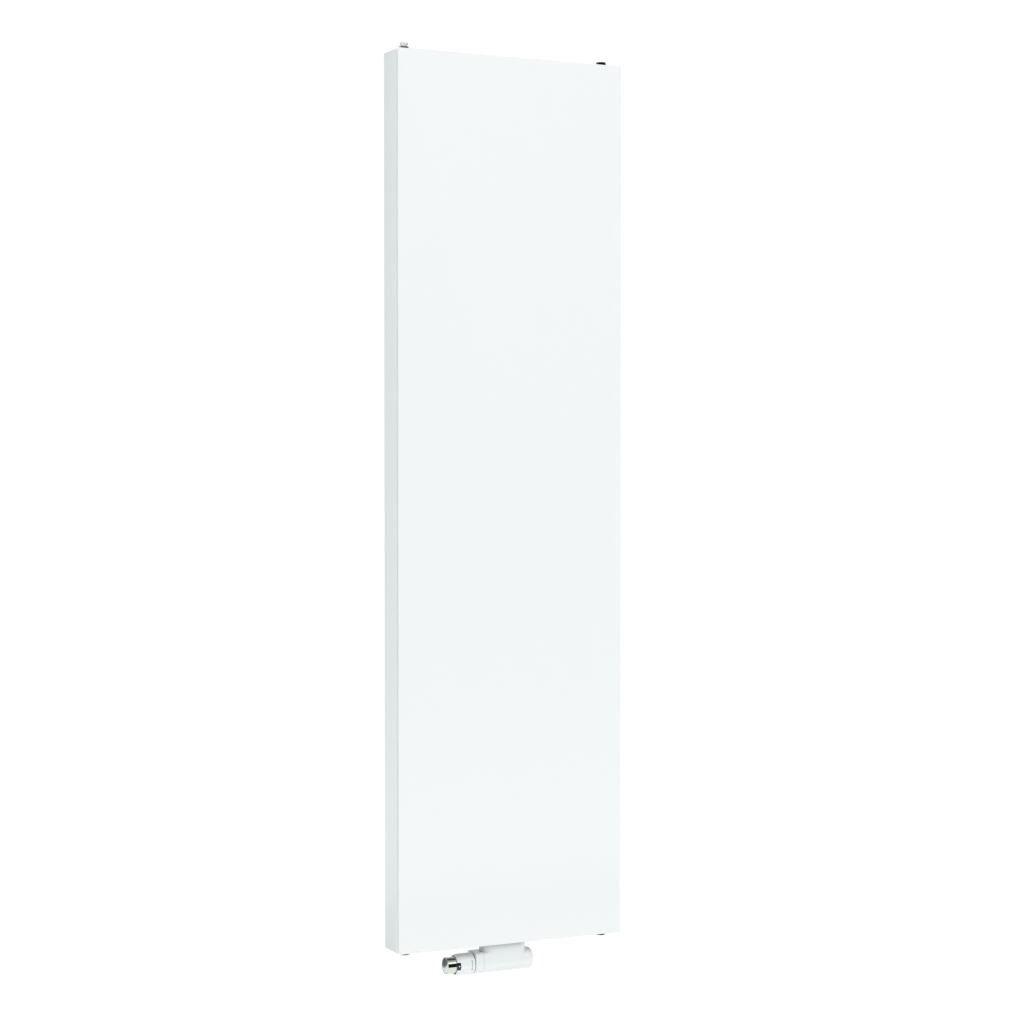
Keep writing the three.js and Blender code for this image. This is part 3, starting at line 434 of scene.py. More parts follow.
# ---- Side panels --------
SIDE_SHEET = 1.2 * MM
GROOVE_DEPTH = 5.4 * MM  # how far the panel is set in behind the front plate
GROOVE_END = FRONT_Y + 10 * MM
SIDE_RETURN = 12 * MM


def side_panel(side, node):
    low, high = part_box(node)
    outer = side * (HALF_WIDTH - SIDE_SHEET / 2)
    groove = outer - side * GROOVE_DEPTH
    path = [
        (groove, low.y),
        (groove, GROOVE_END),
        (outer, GROOVE_END),
        (outer, high.y - SIDE_SHEET / 2),
        (outer - side * SIDE_RETURN, high.y - SIDE_SHEET / 2),
    ]
    bends = rounded(path, [0, 1 * MM, 4.2 * MM, 2 * MM, 0], 7)
    made = sheet_prism(node + "_sheet", "z", bends, SIDE_SHEET, low.z, high.z)
    bevelled(made, 0.25 * MM, 2, math.radians(60))
    piece(made, white_paint, "radiator", "white_paint", node)


side_panel(-1, "left_side_panel")
side_panel(1, "right_side_panel")

# ---- Water panels: pressed sheets with channels, headers and spot welds --------
CHANNELS = 14
CHANNEL_PITCH = 100 / 3 * MM
CHANNEL_FOOT = 13.5 * MM
CHANNEL_CREST = 9 * MM
HEADER_HALF = 18 * MM
HEADER_CREST = 13 * MM
SEAM = 2.5 * MM
WELD_PITCH = 62 * MM
WELD_RADIUS = 3.2 * MM
WELD_DEPTH = 0.9 * MM


def smoothstep(value, low, high):
    t = min(1.0, max(0.0, (value - low) / (high - low)))
    return t * t * (3 - 2 * t)


def water_panel(node, depth):
    """Both faces of a panel as one closed mesh: y is pressed out by the channels and headers."""
    low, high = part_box(node)
    middle = (low.y + high.y) / 2
    web = SEAM / 2
    header_z = high.z - HEADER_HALF
    welds = [(k - (CHANNELS - 2) / 2) * CHANNEL_PITCH for k in range(CHANNELS - 1)]
    weld_rows = int((2 * header_z - 80 * MM) / WELD_PITCH)
    levels = [(k - (weld_rows - 1) / 2) * WELD_PITCH for k in range(weld_rows)]
    xs = {low.x, high.x, low.x + 1.5 * MM, high.x - 1.5 * MM}
    for k in range(CHANNELS):
        centre = (k - (CHANNELS - 1) / 2) * CHANNEL_PITCH
        for share in (0, 0.2, 0.4, 0.6, 0.8, 1):
            offset = CHANNEL_CREST + (CHANNEL_FOOT - CHANNEL_CREST) * share
            xs.update({centre - offset, centre + offset})
        xs.add(centre)
    for x in welds:
        xs.update(x + WELD_RADIUS * share for share in (-0.7, -0.35, 0, 0.35, 0.7))
    zs = {low.z, high.z}
    for z in levels:
        zs.update(z + WELD_RADIUS * share for share in (-1, -0.6, -0.25, 0.25, 0.6, 1))
    for end in (-1, 1):
        for share in (0, 0.2, 0.4, 0.6, 0.8, 1):
            offset = HEADER_CREST + (HEADER_HALF - HEADER_CREST) * share
            zs.update({end * header_z - offset, end * header_z + offset})
        zs.update({end * (header_z + HEADER_HALF - 1.5 * MM), end * header_z})
    columns = sorted(x for x in xs if low.x - 1e-9 <= x <= high.x + 1e-9)
    lines = sorted(z for z in zs if low.z - 1e-9 <= z <= high.z + 1e-9)

    def pressed(x, z):
        nearest = round(x / CHANNEL_PITCH - 0.5) + 0.5
        across = abs(x - nearest * CHANNEL_PITCH) if abs(nearest) <= (CHANNELS - 1) / 2 else 1.0
        channel = 1 - smoothstep(across, CHANNEL_CREST, CHANNEL_FOOT)
        channel *= 1 if abs(z) < header_z else 0
        edge = smoothstep(high.x - abs(x), 2 * MM, 7 * MM)
        header = (1 - smoothstep(abs(abs(z) - header_z), HEADER_CREST, HEADER_HALF)) * edge
        rise = max(channel, header)
        if rise < 0.05:
            weld_x = min(welds, key=lambda w: abs(w - x))
            weld_z = min(levels, key=lambda w: abs(w - z))
            reach = math.hypot(x - weld_x, z - weld_z) / WELD_RADIUS
            return -WELD_DEPTH * (1 - smoothstep(reach, 0.35, 1.0))
        return rise * (depth - web)

    vertices, faces = [], []
    for side in (-1, 1):
        for z in lines:
            for x in columns:
                vertices.append((x, middle + side * (web + pressed(x, z)), z))
    width, height = len(columns), len(lines)
    sheet = width * height
    for layer in (0, sheet):
        for i in range(height - 1):
            for j in range(width - 1):
                a = layer + i * width + j
                faces.append((a, a + 1, a + width + 1, a + width))
    rim = list(range(width))
    rim += [i * width + width - 1 for i in range(1, height)]
    rim += [(height - 1) * width + j for j in range(width - 2, -1, -1)]
    rim += [i * width for i in range(height - 2, 0, -1)]
    for a, b in zip(rim, rim[1:] + rim[:1]):
        faces.append((a, b, b + sheet, a + sheet))
    return build(node + "_pressing", vertices, faces)


PANEL_DEPTH = (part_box("rear_water_panel")[1].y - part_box("rear_water_panel")[0].y) / 2
for panel_node in ("front_water_panel", "rear_water_panel"):
    piece(water_panel(panel_node, PANEL_DEPTH), white_paint, "radiator", "white_paint", panel_node)

# ---- Convector sheets --------
FIN_SHEET = 0.6 * MM
FIN_FLAT = 6 * MM


def convector(node, towards):
    low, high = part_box(node)
    near, far = (low.y, high.y) if towards > 0 else (high.y, low.y)
    root, crest = near + towards * FIN_SHEET / 2, far - towards * FIN_SHEET / 2
    path = []
    for k in range(CHANNELS):
        x = (k - (CHANNELS - 1) / 2) * CHANNEL_PITCH
        path.append((x - CHANNEL_PITCH / 2 + FIN_FLAT, crest))
        path += [(x - FIN_FLAT, root), (x + FIN_FLAT, root)]
        path.append((x + CHANNEL_PITCH / 2 - FIN_FLAT, crest))
    radii = [0, *[1.4 * MM] * (len(path) - 2), 0]
    made = sheet_prism(node + "_sheet", "z", rounded(path, radii, 4), FIN_SHEET, low.z, high.z)
    piece(made, white_paint, "radiator", "white_paint", node)


convector("front_convector", 1)
convector("rear_convector", -1)

# ---- Tees, plugs and seals --------
SOCKET_RADIUS = 13 * MM
SOCKET_BORE = 8.6 * MM
SOCKET_FLOOR = 4 * MM
SOCKET_FLARE = 0.5 * MM
ARM_RADIUS = 10 * MM
ARM_BORE = 6.5 * MM


def tee(name):
    low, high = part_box(name + "_tee")
    x, end = (low.x + high.x) / 2, 1 if low.z > 0 else -1
    mouth, floor = (high.z, low.z) if end > 0 else (low.z, high.z)
    arm_z = end * (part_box("rear_water_panel")[1].z - HEADER_HALF)
    socket = turned(name + "_socket", "z", (x, MID_Y, mouth), rounded([
        (0, floor - mouth),
        (SOCKET_RADIUS, floor - mouth),
        (SOCKET_RADIUS, 0),
        (0, 0),
    ], [0, 1.5 * MM, 0.6 * MM, 0], 4), 64)
    cup = turned("cup", "z", (x, MID_Y, mouth), [
        (0, floor - mouth + end * SOCKET_FLOOR),
        (SOCKET_BORE, floor - mouth + end * SOCKET_FLOOR),
        (SOCKET_BORE, -end * SOCKET_FLARE),
        (SOCKET_BORE + 2 * SOCKET_FLARE, end * SOCKET_FLARE),
        (0, end * SOCKET_FLARE),
    ], 64)
    centre = (x, 0, arm_z)
    arm = turned("arm", "y", centre, rod_profile(ARM_RADIUS, low.y, high.y), 64)
    bore = turned("bore", "y", centre, rod_profile(ARM_BORE, low.y - MM, high.y + MM), 48)
    combine(outward(socket), [outward(arm)], "UNION")
    combine(socket, [outward(cup), outward(bore)], "DIFFERENCE")
    piece(socket, white_paint, "radiator", "white_paint", name + "_tee")
    for y in (low.y, high.y):
        inward = 1 if y == low.y else -1
        way = "front" if inward > 0 else "back"
        bead = turned(f"{name}_weld_{way}", "y", (x, y, arm_z), [
            (ARM_RADIUS + 0.05 * MM, inward * 0.1 * MM),
            (ARM_RADIUS + 1.6 * MM, inward * 0.1 * MM),
            (ARM_RADIUS + 1.5 * MM, inward * 0.7 * MM),
            (ARM_RADIUS + 1.0 * MM, inward * 1.4 * MM),
            (ARM_RADIUS + 0.05 * MM, inward * 1.9 * MM),
        ], 64, ring=True)
        piece(bead, white_paint, "radiator", "white_paint")


for tee_name in ("top_left", "top_right", "bottom_left", "bottom_right", "supply", "return"):
    tee(tee_name)


RING_SQUEEZE = 0.3 * MM
RING_STEPS = 14


def o_ring(node):
    low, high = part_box(node)
    outer, thick = (high.x - low.x) / 2, (high.z - low.z) / 2
    radius = outer + RING_SQUEEZE - thick
    section = []
    for k in range(RING_STEPS):
        angle = 2 * math.pi * k / RING_STEPS
        section.append((radius + thick * math.cos(angle), thick * math.sin(angle)))
    ring = turned(node + "_ring", "z", (low + high) / 2, section, 64, ring=True)
    piece(ring, rubber, "radiator", "seal_rubber", node)


PLUG_SHANK = 8.2 * MM
PLUG_LENGTH = 11 * MM  # threaded length, from the tip to the flange
PLUG_FLANGE = 10.5 * MM
PLUG_KEY = 8 * MM
PLUG_KEY_DEPTH = 5 * MM


def threaded(radius, start, end, pitch=1.8 * MM, depth=0.55 * MM):
    """Profile points of a thread, drawn as rings, from start to end along the axis."""
    turns = max(1, int(abs(end - start) / pitch))
    step = (end - start) / turns
    points = [(radius - depth, start)]
    for k in range(turns):
        points.append((radius, start + step * (k + 0.45)))
        points.append((radius, start + step * (k + 0.6)))
        points.append((radius - depth, start + step * (k + 1)))
    return points


def blanking_plug(node, material, slot):
    low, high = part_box(node)
    end = 1 if low.z > 0 else -1
    tip, face = (low.z, high.z) if end > 0 else (high.z, low.z)
    centre = Vector(((low.x + high.x) / 2, MID_Y, 0))
    seat = tip + end * PLUG_LENGTH
    radius = PLUG_FLANGE
    flange = [(PLUG_SHANK - 0.6 * MM, seat), (radius, seat), (radius, face - end * 3.2 * MM),
              (radius - 0.7 * MM, face - end * 2.7 * MM), (radius - 0.7 * MM, face - end * 2.3 * MM),
              (radius, face - end * 1.8 * MM), (radius, face), (0, face)]
    rounds = [0, 0.4 * MM, 0, 0.2 * MM, 0.2 * MM, 0, 0.9 * MM, 0]
    thread = threaded(PLUG_SHANK, tip + end * 0.5 * MM, seat)
    tip_edge = [(0, tip), (PLUG_SHANK - 1.2 * MM, tip)]
    plug = turned(node + "_body", "z", centre, [*tip_edge, *thread, *rounded(flange, rounds, 4)[1:]])
    square = [(centre.x + u * PLUG_KEY / 2, MID_Y + v * PLUG_KEY / 2)
              for u, v in ((-1, -1), (1, -1), (1, 1), (-1, 1))]
    key_outline = rounded(square, [0.7 * MM] * 4, 3)
    key = prism("key", "z", key_outline, face - end * PLUG_KEY_DEPTH, face + end * MM)
    combine(outward(plug), [outward(key)], "DIFFERENCE")
    piece(plug, material, "radiator", slot, node)


blanking_plug("top_right_plug", dark_nickel, "dark_nickel")
blanking_plug("bottom_left_plug", nickel, "nickel_plate")
blanking_plug("bottom_right_plug", dark_nickel, "dark_nickel")
for seal_node in ("top_right_plug_seal", "bottom_left_plug_seal", "bottom_right_plug_seal", "vent_seal"):
    o_ring(seal_node)

# ---- Air vent --------
VENT_STEM = 4.6 * MM
VENT_BORE = 2.6 * MM
COLLAR_BORE = 4.9 * MM
COLLAR_RADIUS = 7.4 * MM
SPOUT_HEIGHT = 4.1 * MM
SPOUT_ANGLE = -math.pi / 3
# Radius, start and end of the spout and of its bore, out from the collar's axis
SPOUT = (2.0 * MM, 5.6 * MM, 10.2 * MM)
SPOUT_BORE = (1.2 * MM, 4.0 * MM, 11.0 * MM)


def air_vent():
    low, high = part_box("vent_body")
    centre = Vector(((low.x + high.x) / 2, MID_Y, 0))
    flange_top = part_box("vent_nozzle")[0].z - 0.3 * MM
    seat = low.z + PLUG_LENGTH
    outer = [
        (PLUG_SHANK - 0.6 * MM, seat),
        (PLUG_FLANGE, seat),
        (PLUG_FLANGE, flange_top),
        (VENT_STEM, flange_top),
        (VENT_STEM, high.z),
        (VENT_BORE, high.z),
        (VENT_BORE, low.z),
    ]
    rounds = [0, 0.4 * MM, 0.9 * MM, 0.3 * MM, 0.4 * MM, 0.3 * MM, 0]
    thread = threaded(PLUG_SHANK, low.z + 0.5 * MM, seat)
    profile = [(PLUG_SHANK - 1.2 * MM, low.z), *thread, *rounded(outer, rounds, 4)[1:]]
    body = turned("vent_stem", "z", centre, profile, ring=True)
    piece(body, nickel, "radiator", "nickel_plate", "vent_body")

    low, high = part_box("vent_nozzle")
    collar = [(COLLAR_BORE, low.z), (COLLAR_RADIUS, low.z), (COLLAR_RADIUS, high.z), (COLLAR_BORE, high.z)]
    collar = rounded(collar, [0.3 * MM, 0.5 * MM, 1.3 * MM, 0.4 * MM], 5)
    nozzle = turned("vent_outlet_collar", "z", centre, collar, ring=True)
    reach = Vector((math.cos(SPOUT_ANGLE), math.sin(SPOUT_ANGLE), 0))
    start = centre + Vector((0, 0, low.z + SPOUT_HEIGHT))
    for rod, operation in ((SPOUT, "UNION"), (SPOUT_BORE, "DIFFERENCE")):
        tube = turned("spout", "x", (0, 0, 0), rod_profile(*rod), 40)
        tube.data.transform(reach.to_track_quat("X", "Z").to_matrix().to_4x4())
        tube.data.transform(Matrix.Translation(start))
        combine(outward(nozzle) if operation == "UNION" else nozzle, [outward(tube)], operation)
    piece(nozzle, white_plastic, "vent_collar", "white_plastic", "vent_nozzle")


air_vent()

# ---- Lugs, brackets and screws --------
LUG_SHEET = 2 * MM
LUG_BRIDGE_HALF = 15 * MM
LUG_FOOT_HALF = 27 * MM
BRACKET_SHEET = 3 * MM
BRACKET_HOOK = 31.3 * MM
SCREW_HOLE = 3 * MM
SCREW_HEAD = 3 * MM
SCREW_SHANK = 2.5 * MM
SCREW_DRIVE = 2.9 * MM


def lug(place):
    low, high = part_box(place + "_lug")
    x = (low.x + high.x) / 2
    near, far = low.y + LUG_SHEET / 2, high.y - LUG_SHEET / 2
    path = [
        (x - LUG_FOOT_HALF, near),
        (x - LUG_BRIDGE_HALF, near),
        (x - LUG_BRIDGE_HALF, far),
        (x + LUG_BRIDGE_HALF, far),
        (x + LUG_BRIDGE_HALF, near),
        (x + LUG_FOOT_HALF, near),
    ]
    bends = rounded(path, [0, *[2.4 * MM] * 4, 0], 5)
    strap = sheet_prism(place + "_lug_strap", "z", bends, LUG_SHEET, low.z, high.z)
    bevelled(strap, 0.3 * MM, 2, math.radians(60))
    piece(strap, white_paint, "radiator", "white_paint", place + "_lug")
    return x


def bracket(place, x):
    low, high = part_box(place + "_bracket")
    screw_low, screw_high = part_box(place + "_bracket_screw")
    z = (screw_low.z + screw_high.z) / 2
    half = BRACKET_SHEET / 2
    path = [
        (-half, high.z),
        (-half, low.z + half),
        (low.y + half, low.z + half),
        (low.y + half, low.z + BRACKET_HOOK),
    ]
    bends = rounded(path, [0, 3.2 * MM, 3.2 * MM, 0], 6)
    plate = sheet_prism(place + "_bracket_plate", "x", bends, BRACKET_SHEET, low.x, high.x)
    hole = turned("hole", "y", (x, 0, z), rod_profile(SCREW_HOLE, -5 * MM, MM), 40)
    combine(outward(plate), [outward(hole)], "DIFFERENCE")
    bevelled(plate, 0.3 * MM, 2, math.radians(50))
    piece(plate, zinc, "radiator", "zinc_steel", place + "_bracket")

    head = screw_low.y
    profile = rounded([
        (0, head),
        (5 * MM, head),
        (6 * MM, head + SCREW_HEAD),
        (SCREW_SHANK, head + SCREW_HEAD),
        (SCREW_SHANK, screw_high.y),
        (0, screw_high.y),
    ], [0, 0.9 * MM, 0.3 * MM, 0, 0.3 * MM, 0], 4)
    screw = turned(place + "_bracket_screw_body", "y", (x, 0, z), profile, 48)
    turns = [math.pi * k / 3 for k in range(6)]
    drive = [(x + SCREW_DRIVE * math.cos(turn), z + SCREW_DRIVE * math.sin(turn)) for turn in turns]
    socket = prism("drive", "y", drive, head - MM, head + 2 * MM)
    combine(outward(screw), [outward(socket)], "DIFFERENCE")
    piece(screw, zinc, "radiator", "zinc_steel", place + "_bracket_screw")


for hanger_row in ("upper", "lower"):
    for hanger_side in ("left", "right"):
        hanger = f"{hanger_row}_{hanger_side}"
        bracket(hanger, lug(hanger))

# ---- Valve cover: a barrel whose front and back run up into a stadium-shaped saddle --------
COVER_WALL = 1.6 * MM
COVER_ROUND = 7 * MM
COVER_HALF_SPAN = 27.75 * MM
COVER_MID = (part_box("supply_tail")[0].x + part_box("return_tail")[1].x) / 2
COVER_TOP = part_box("valve_cover")[1].z - VALVE.z
CROWN_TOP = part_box("neck_ring")[1].z - VALVE.z
CROWN_CORNER = 8 * MM
CROWN_RIGHT = COVER_MID - COVER_HALF_SPAN
BACK_LEFT, BACK_RIGHT = -50 * MM, 38 * MM
BACK_ANGLE = math.radians(30)


def cover_stations():
    """Places along the cover where a section is drawn, close together where it changes fast."""
    nose_left = COVER_MID - COVER_HALF_SPAN - HEAD_RADIUS
    nose_right = COVER_MID + COVER_HALF_SPAN + HEAD_RADIUS
    stations = {COVER_LEFT, BACK_LEFT, BACK_RIGHT, nose_left, nose_right}
    for nose, inward in ((nose_left, 1), (nose_right, -1)):
        for k in range(1, 19):
            stations.add(nose + inward * HEAD_RADIUS * (1 - math.cos(math.pi / 2 * k / 18)))
    for k in range(1, 8):
        stations.add(COVER_MID - COVER_HALF_SPAN + 2 * COVER_HALF_SPAN * k / 8)
    barrel_end = COVER_RIGHT - COVER_ROUND
    stations.add((nose_right + barrel_end) / 2)
    stations.add(barrel_end)
    return sorted(x for x in stations if x >= COVER_LEFT - 1e-9), nose_left, nose_right


def crown_side(depth, steps):
    """The crown from its widest line up, round its corner and in to a depth, as steps points of (y, z)."""
    shoulder = HEAD_RADIUS - CROWN_CORNER
    last = math.acos(min(1.0, max(0.0, (depth - shoulder) / CROWN_CORNER)))
    points = []
    for k in range(steps - 1):
        angle = last * k / (steps - 2)
        points.append((shoulder + CROWN_CORNER * math.cos(angle),
                       CROWN_TOP - CROWN_CORNER + CROWN_CORNER * math.sin(angle)))
    points.append((min(depth, points[-1][0]), points[-1][1]))
    return points


def valve_cover():
    stations, nose_left, nose_right = cover_stations()
    low_steps, high_steps, wall_steps = 12, 12, 4
    vertices, faces = [], []
    for side in (-1, 1):
        rows = []
        for x in stations:
            beyond = max(0.0, abs(x - COVER_MID) - COVER_HALF_SPAN)
            rise = min(beyond, HEAD_RADIUS)
            row = []
            for k in range(low_steps + 1):
                angle = math.pi / 2 * k / low_steps
                row.append((side * HEAD_RADIUS * math.sin(angle), -HEAD_RADIUS * math.cos(angle)))
            last = math.asin(rise / HEAD_RADIUS)
            depth = math.sqrt(max(0.0, HEAD_RADIUS**2 - rise**2))
            if x < CROWN_RIGHT + 1e-9:
                row += [(side * y, z) for y, z in crown_side(depth, high_steps)]
                rise = row[-1][1]
            else:
                for k in range(1, high_steps + 1):
                    angle = last * k / high_steps
                    row.append((side * HEAD_RADIUS * math.cos(angle), HEAD_RADIUS * math.sin(angle)))
            walled = nose_left - 1e-9 <= x <= nose_right + 1e-9
            if walled:
                for k in range(1, wall_steps + 1):
                    height = rise + (COVER_TOP - rise) * k / wall_steps
                    row.append((side * depth, height))
            rows.append((x, [(x, y, z) for y, z in row], walled))
        for (x0, row0, walled0), (x1, row1, walled1) in zip(rows, rows[1:]):
            count = min(len(row0), len(row1)) if walled0 and walled1 else low_steps + high_steps + 1
            for k in range(count - 1):
                open_back = side > 0 and x0 >= BACK_LEFT - 1e-9 and x1 <= BACK_RIGHT + 1e-9
                if open_back and k >= low_steps * BACK_ANGLE / (math.pi / 2) - 1e-6:
                    continue
                corners = (row0[k], row1[k], row1[k + 1], row0[k + 1])
                faces.append(tuple(range(len(vertices), len(vertices) + 4)))
                vertices += corners
    rings = []
    for k in range(7):
        angle = math.pi / 2 * k / 6
        along = COVER_RIGHT - COVER_ROUND * (1 - math.sin(angle))
        rings.append((HEAD_RADIUS - COVER_ROUND * (1 - math.cos(angle)), along))
    rings += [(8 * MM, COVER_RIGHT), (0, COVER_RIGHT)]
    sides = 4 * low_steps
    for (r0, a0), (r1, a1) in zip(rings, rings[1:]):
        for k in range(sides):
            turns = [2 * math.pi * (k + step) / sides for step in (0, 1)]
            corners = [(a, r * math.cos(t), r * math.sin(t)) for a, r, t in
                       ((a0, r0, turns[0]), (a0, r0, turns[1]), (a1, r1, turns[1]), (a1, r1, turns[0]))]
            faces.append(tuple(range(len(vertices), len(vertices) + 4)))
            vertices += corners
    cover = build("valve_cover_shell", [Vector(v) + VALVE for v in vertices], faces)
    work = bmesh.new()
    work.from_mesh(cover.data)
    bmesh.ops.remove_doubles(work, verts=work.verts, dist=2e-6)
    bmesh.ops.dissolve_degenerate(work, edges=work.edges, dist=1e-6)
    bmesh.ops.recalc_face_normals(work, faces=work.faces)
    work.to_mesh(cover.data)
    work.free()
    return cover


cover = valve_cover()
wall = cover.modifiers.new("wall", "SOLIDIFY")
wall.thickness = COVER_WALL
wall.offset = -1
wall.use_even_offset = False
apply_modifiers(cover)
bevelled(cover, 0.35 * MM, 3, math.radians(38))
piece(cover, white_plastic, "radiator", "white_plastic", "valve_cover")

# ---- Neck ring: round below, squared off above --------
NECK_BORE = 18 * MM


def neck_ring():
    low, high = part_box("neck_ring")
    top = high.z - VALVE.z
    outline = [(HEAD_RADIUS * math.cos(a), HEAD_RADIUS * math.sin(a))
               for a in (math.pi + math.pi * k / 40 for k in range(41))]
    corners = [(HEAD_RADIUS, 0), (HEAD_RADIUS, top), (-HEAD_RADIUS, top), (-HEAD_RADIUS, 0)]
    crown = rounded(corners, [0, CROWN_CORNER, CROWN_CORNER, 0], 12)
    outline += crown[1:-1]
    rows = []
    for inset, x in ((0.35, low.x), (0.1, low.x + 0.1 * MM), (0.0, low.x + 0.35 * MM),
                     (0.0, high.x - 0.35 * MM), (0.1, high.x - 0.1 * MM), (0.35, high.x)):
        scale = 1 - inset * MM / HEAD_RADIUS
        rows.append([(x, VALVE.y + u * scale, VALVE.z + v * scale) for u, v in outline])
    for x in (high.x, low.x):
        row = []
        for u, v in outline:
            angle = math.atan2(v, u)
            row.append((x, VALVE.y + NECK_BORE * math.cos(angle), VALVE.z + NECK_BORE * math.sin(angle)))
        rows.append(row)
    return lofted("neck_ring_shell", rows, close_rows=True, close_loop=True)


piece(neck_ring(), white_plastic, "radiator", "white_plastic", "neck_ring")

# ---- Thermostat head --------
SLEEVE_RIM = 19.3 * MM
SHOULDER = 12 * MM
SLEEVE_BORE = 18.6 * MM
SLEEVE_CHAMBER = 19.8 * MM
CHAMBER_LEFT = SLEEVE_LEFT + 10.8 * MM


def sleeve_radius(x):
    """Outer radius of the sleeve at a place along it."""
    share = min(1.0, max(0.0, (x - SLEEVE_LEFT) / SHOULDER))
    return SLEEVE_RIM + (HEAD_RADIUS - SLEEVE_RIM) * math.sqrt(max(0.0, 1 - (1 - share) ** 2))


def on_sleeve(x, angle, lift):
    """A point on the sleeve's surface; angle 0 faces the front and grows upwards."""
    radius = sleeve_radius(x) + lift
    return VALVE + Vector((x, -radius * math.cos(angle), radius * math.sin(angle)))


def head_sleeve():
    outer = []
    for k in range(15):
        share = (k / 14) ** 1.6
        x = SLEEVE_LEFT + SHOULDER * share
        outer.append((sleeve_radius(x), x))
    outer[0] = (SLEEVE_RIM - 0.25 * MM, SLEEVE_LEFT)
    outer.insert(1, (SLEEVE_RIM - 0.06 * MM, SLEEVE_LEFT + 0.06 * MM))
    section = [
        (SLEEVE_BORE, SLEEVE_LEFT + 0.15 * MM),
        (SLEEVE_BORE + 0.15 * MM, SLEEVE_LEFT),
        *outer,
        (HEAD_RADIUS, SLEEVE_RIGHT - 0.4 * MM),
        (HEAD_RADIUS - 0.12 * MM, SLEEVE_RIGHT - 0.12 * MM),
        (HEAD_RADIUS - 0.4 * MM, SLEEVE_RIGHT),
        (SLEEVE_CHAMBER, SLEEVE_RIGHT),
        (SLEEVE_CHAMBER, CHAMBER_LEFT),
        (SLEEVE_BORE, CHAMBER_LEFT),
    ]
    sleeve = turned("head_sleeve_shell", "x", VALVE, section, 144, ring=True)
    low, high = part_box("index_window")
    pocket_half = (high.z - low.z) / 2 + 0.25 * MM
    rows = []
    for k in range(9):
        x = low.x - 0.25 * MM + (high.x - low.x + 0.5 * MM) * k / 8
        row = []
        for radius in (sleeve_radius(x) + 1.5 * MM, sleeve_radius(x) - 0.8 * MM):
            spread = [math.asin((pocket_half * (2 * j / 10 - 1)) / radius) for j in range(11)]
            points = [VALVE + Vector((x, -radius * math.cos(a), radius * math.sin(a))) for a in spread]
            row += points if radius > sleeve_radius(x) else points[::-1]
        rows.append(row)
    cutter = lofted("pocket", rows, close_loop=True, cap=True)
    combine(outward(sleeve), [outward(cutter)], "DIFFERENCE")
    piece(sleeve, white_plastic, "radiator", "white_plastic", "head_sleeve")


def index_window():
    low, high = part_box("index_window")
    half = (high.z - low.z) / 2
    rows = []
    for k in range(13):
        x = low.x + (high.x - low.x) * k / 12
        row = []
        for lift in (0.1 * MM, -0.75 * MM):
            radius = sleeve_radius(x) + lift
            spread = [math.asin(half * (2 * j / 12 - 1) / radius) for j in range(13)]
            points = [VALVE + Vector((x, -radius * math.cos(a), radius * math.sin(a))) for a in spread]
            row += points if lift > 0 else points[::-1]
        rows.append(row)
    window = lofted("index_window_insert", rows, close_loop=True, cap=True)
    bevelled(outward(window), 0.25 * MM, 3, math.radians(50))
    piece(window, black_plastic, "radiator", "black_plastic", "index_window")


def printed_patch(name, outline, material, slot, thick=0.06 * MM, lift=0.0):
    """A thin printed mark on the sleeve: outline points are (x, arc length up from the front line)."""
    count = len(outline)
    vertices = []
    for height in (lift, lift + thick):
        for x, up in outline:
            vertices.append(on_sleeve(x, up / sleeve_radius(x), height))
    faces = [tuple(range(count)), tuple(range(count, 2 * count))]
    faces += [(k, (k + 1) % count, count + (k + 1) % count, count + k) for k in range(count)]
    piece(build(name, vertices, faces), material, "radiator", slot)


def disc_outline(x, up, radius, sides=28):
    return [(x + radius * math.cos(2 * math.pi * k / sides), up + radius * math.sin(2 * math.pi * k / sides))
            for k in range(sides)]


head_sleeve()
index_window()
index_dot = disc_outline(centre_of("index_window").x, 0.4 * MM, 1.4 * MM)
printed_patch("index_dot", index_dot, print_white, "white_plastic", lift=0.1 * MM)
PRINT_THICK = 0.06 * MM
SCALE_X = SLEEVE_RIGHT - 7 * MM
SCALE_HALF = 8.9 * MM
SCALE_LINE_HALF = 0.35 * MM
SCALE_STEPS = 16
scale_rows = []
for k in range(SCALE_STEPS + 1):
    turn = (-SCALE_HALF + 2 * SCALE_HALF * k / SCALE_STEPS) / HEAD_RADIUS
    left, right = SCALE_X - SCALE_LINE_HALF, SCALE_X + SCALE_LINE_HALF
    corners = ((left, 0), (right, 0), (right, PRINT_THICK), (left, PRINT_THICK))
    scale_rows.append([on_sleeve(x, turn, lift) for x, lift in corners])
scale_line = lofted("scale_line", scale_rows, close_loop=True, cap=True)
piece(scale_line, print_grey, "radiator", "grey_plastic")
for dot_end, dot_name in ((-1, "lower"), (1, "upper")):
    dot = disc_outline(SCALE_X, dot_end * SCALE_HALF, 1.2 * MM)
    printed_patch(f"scale_dot_{dot_name}", dot, print_grey, "grey_plastic", lift=0.01 * MM)

# Dark ring: a black ring in the sleeve's mouth round the knob, which darkens the gap between them
liner_low, liner_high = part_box("sleeve_liner")
LINER_INNER = 17.3 * MM
LINER_OUTER = liner_high.z - VALVE.z
liner = turned("sleeve_liner_ring", "x", VALVE, rounded([
    (LINER_INNER, liner_low.x),
    (LINER_OUTER, liner_low.x),
    (LINER_OUTER, liner_high.x),
    (LINER_INNER, liner_high.x),
], [0.4 * MM, 0.3 * MM, 0.1 * MM, 0.1 * MM], 4), ring=True)
piece(liner, black_plastic, "radiator", "black_plastic", "sleeve_liner")

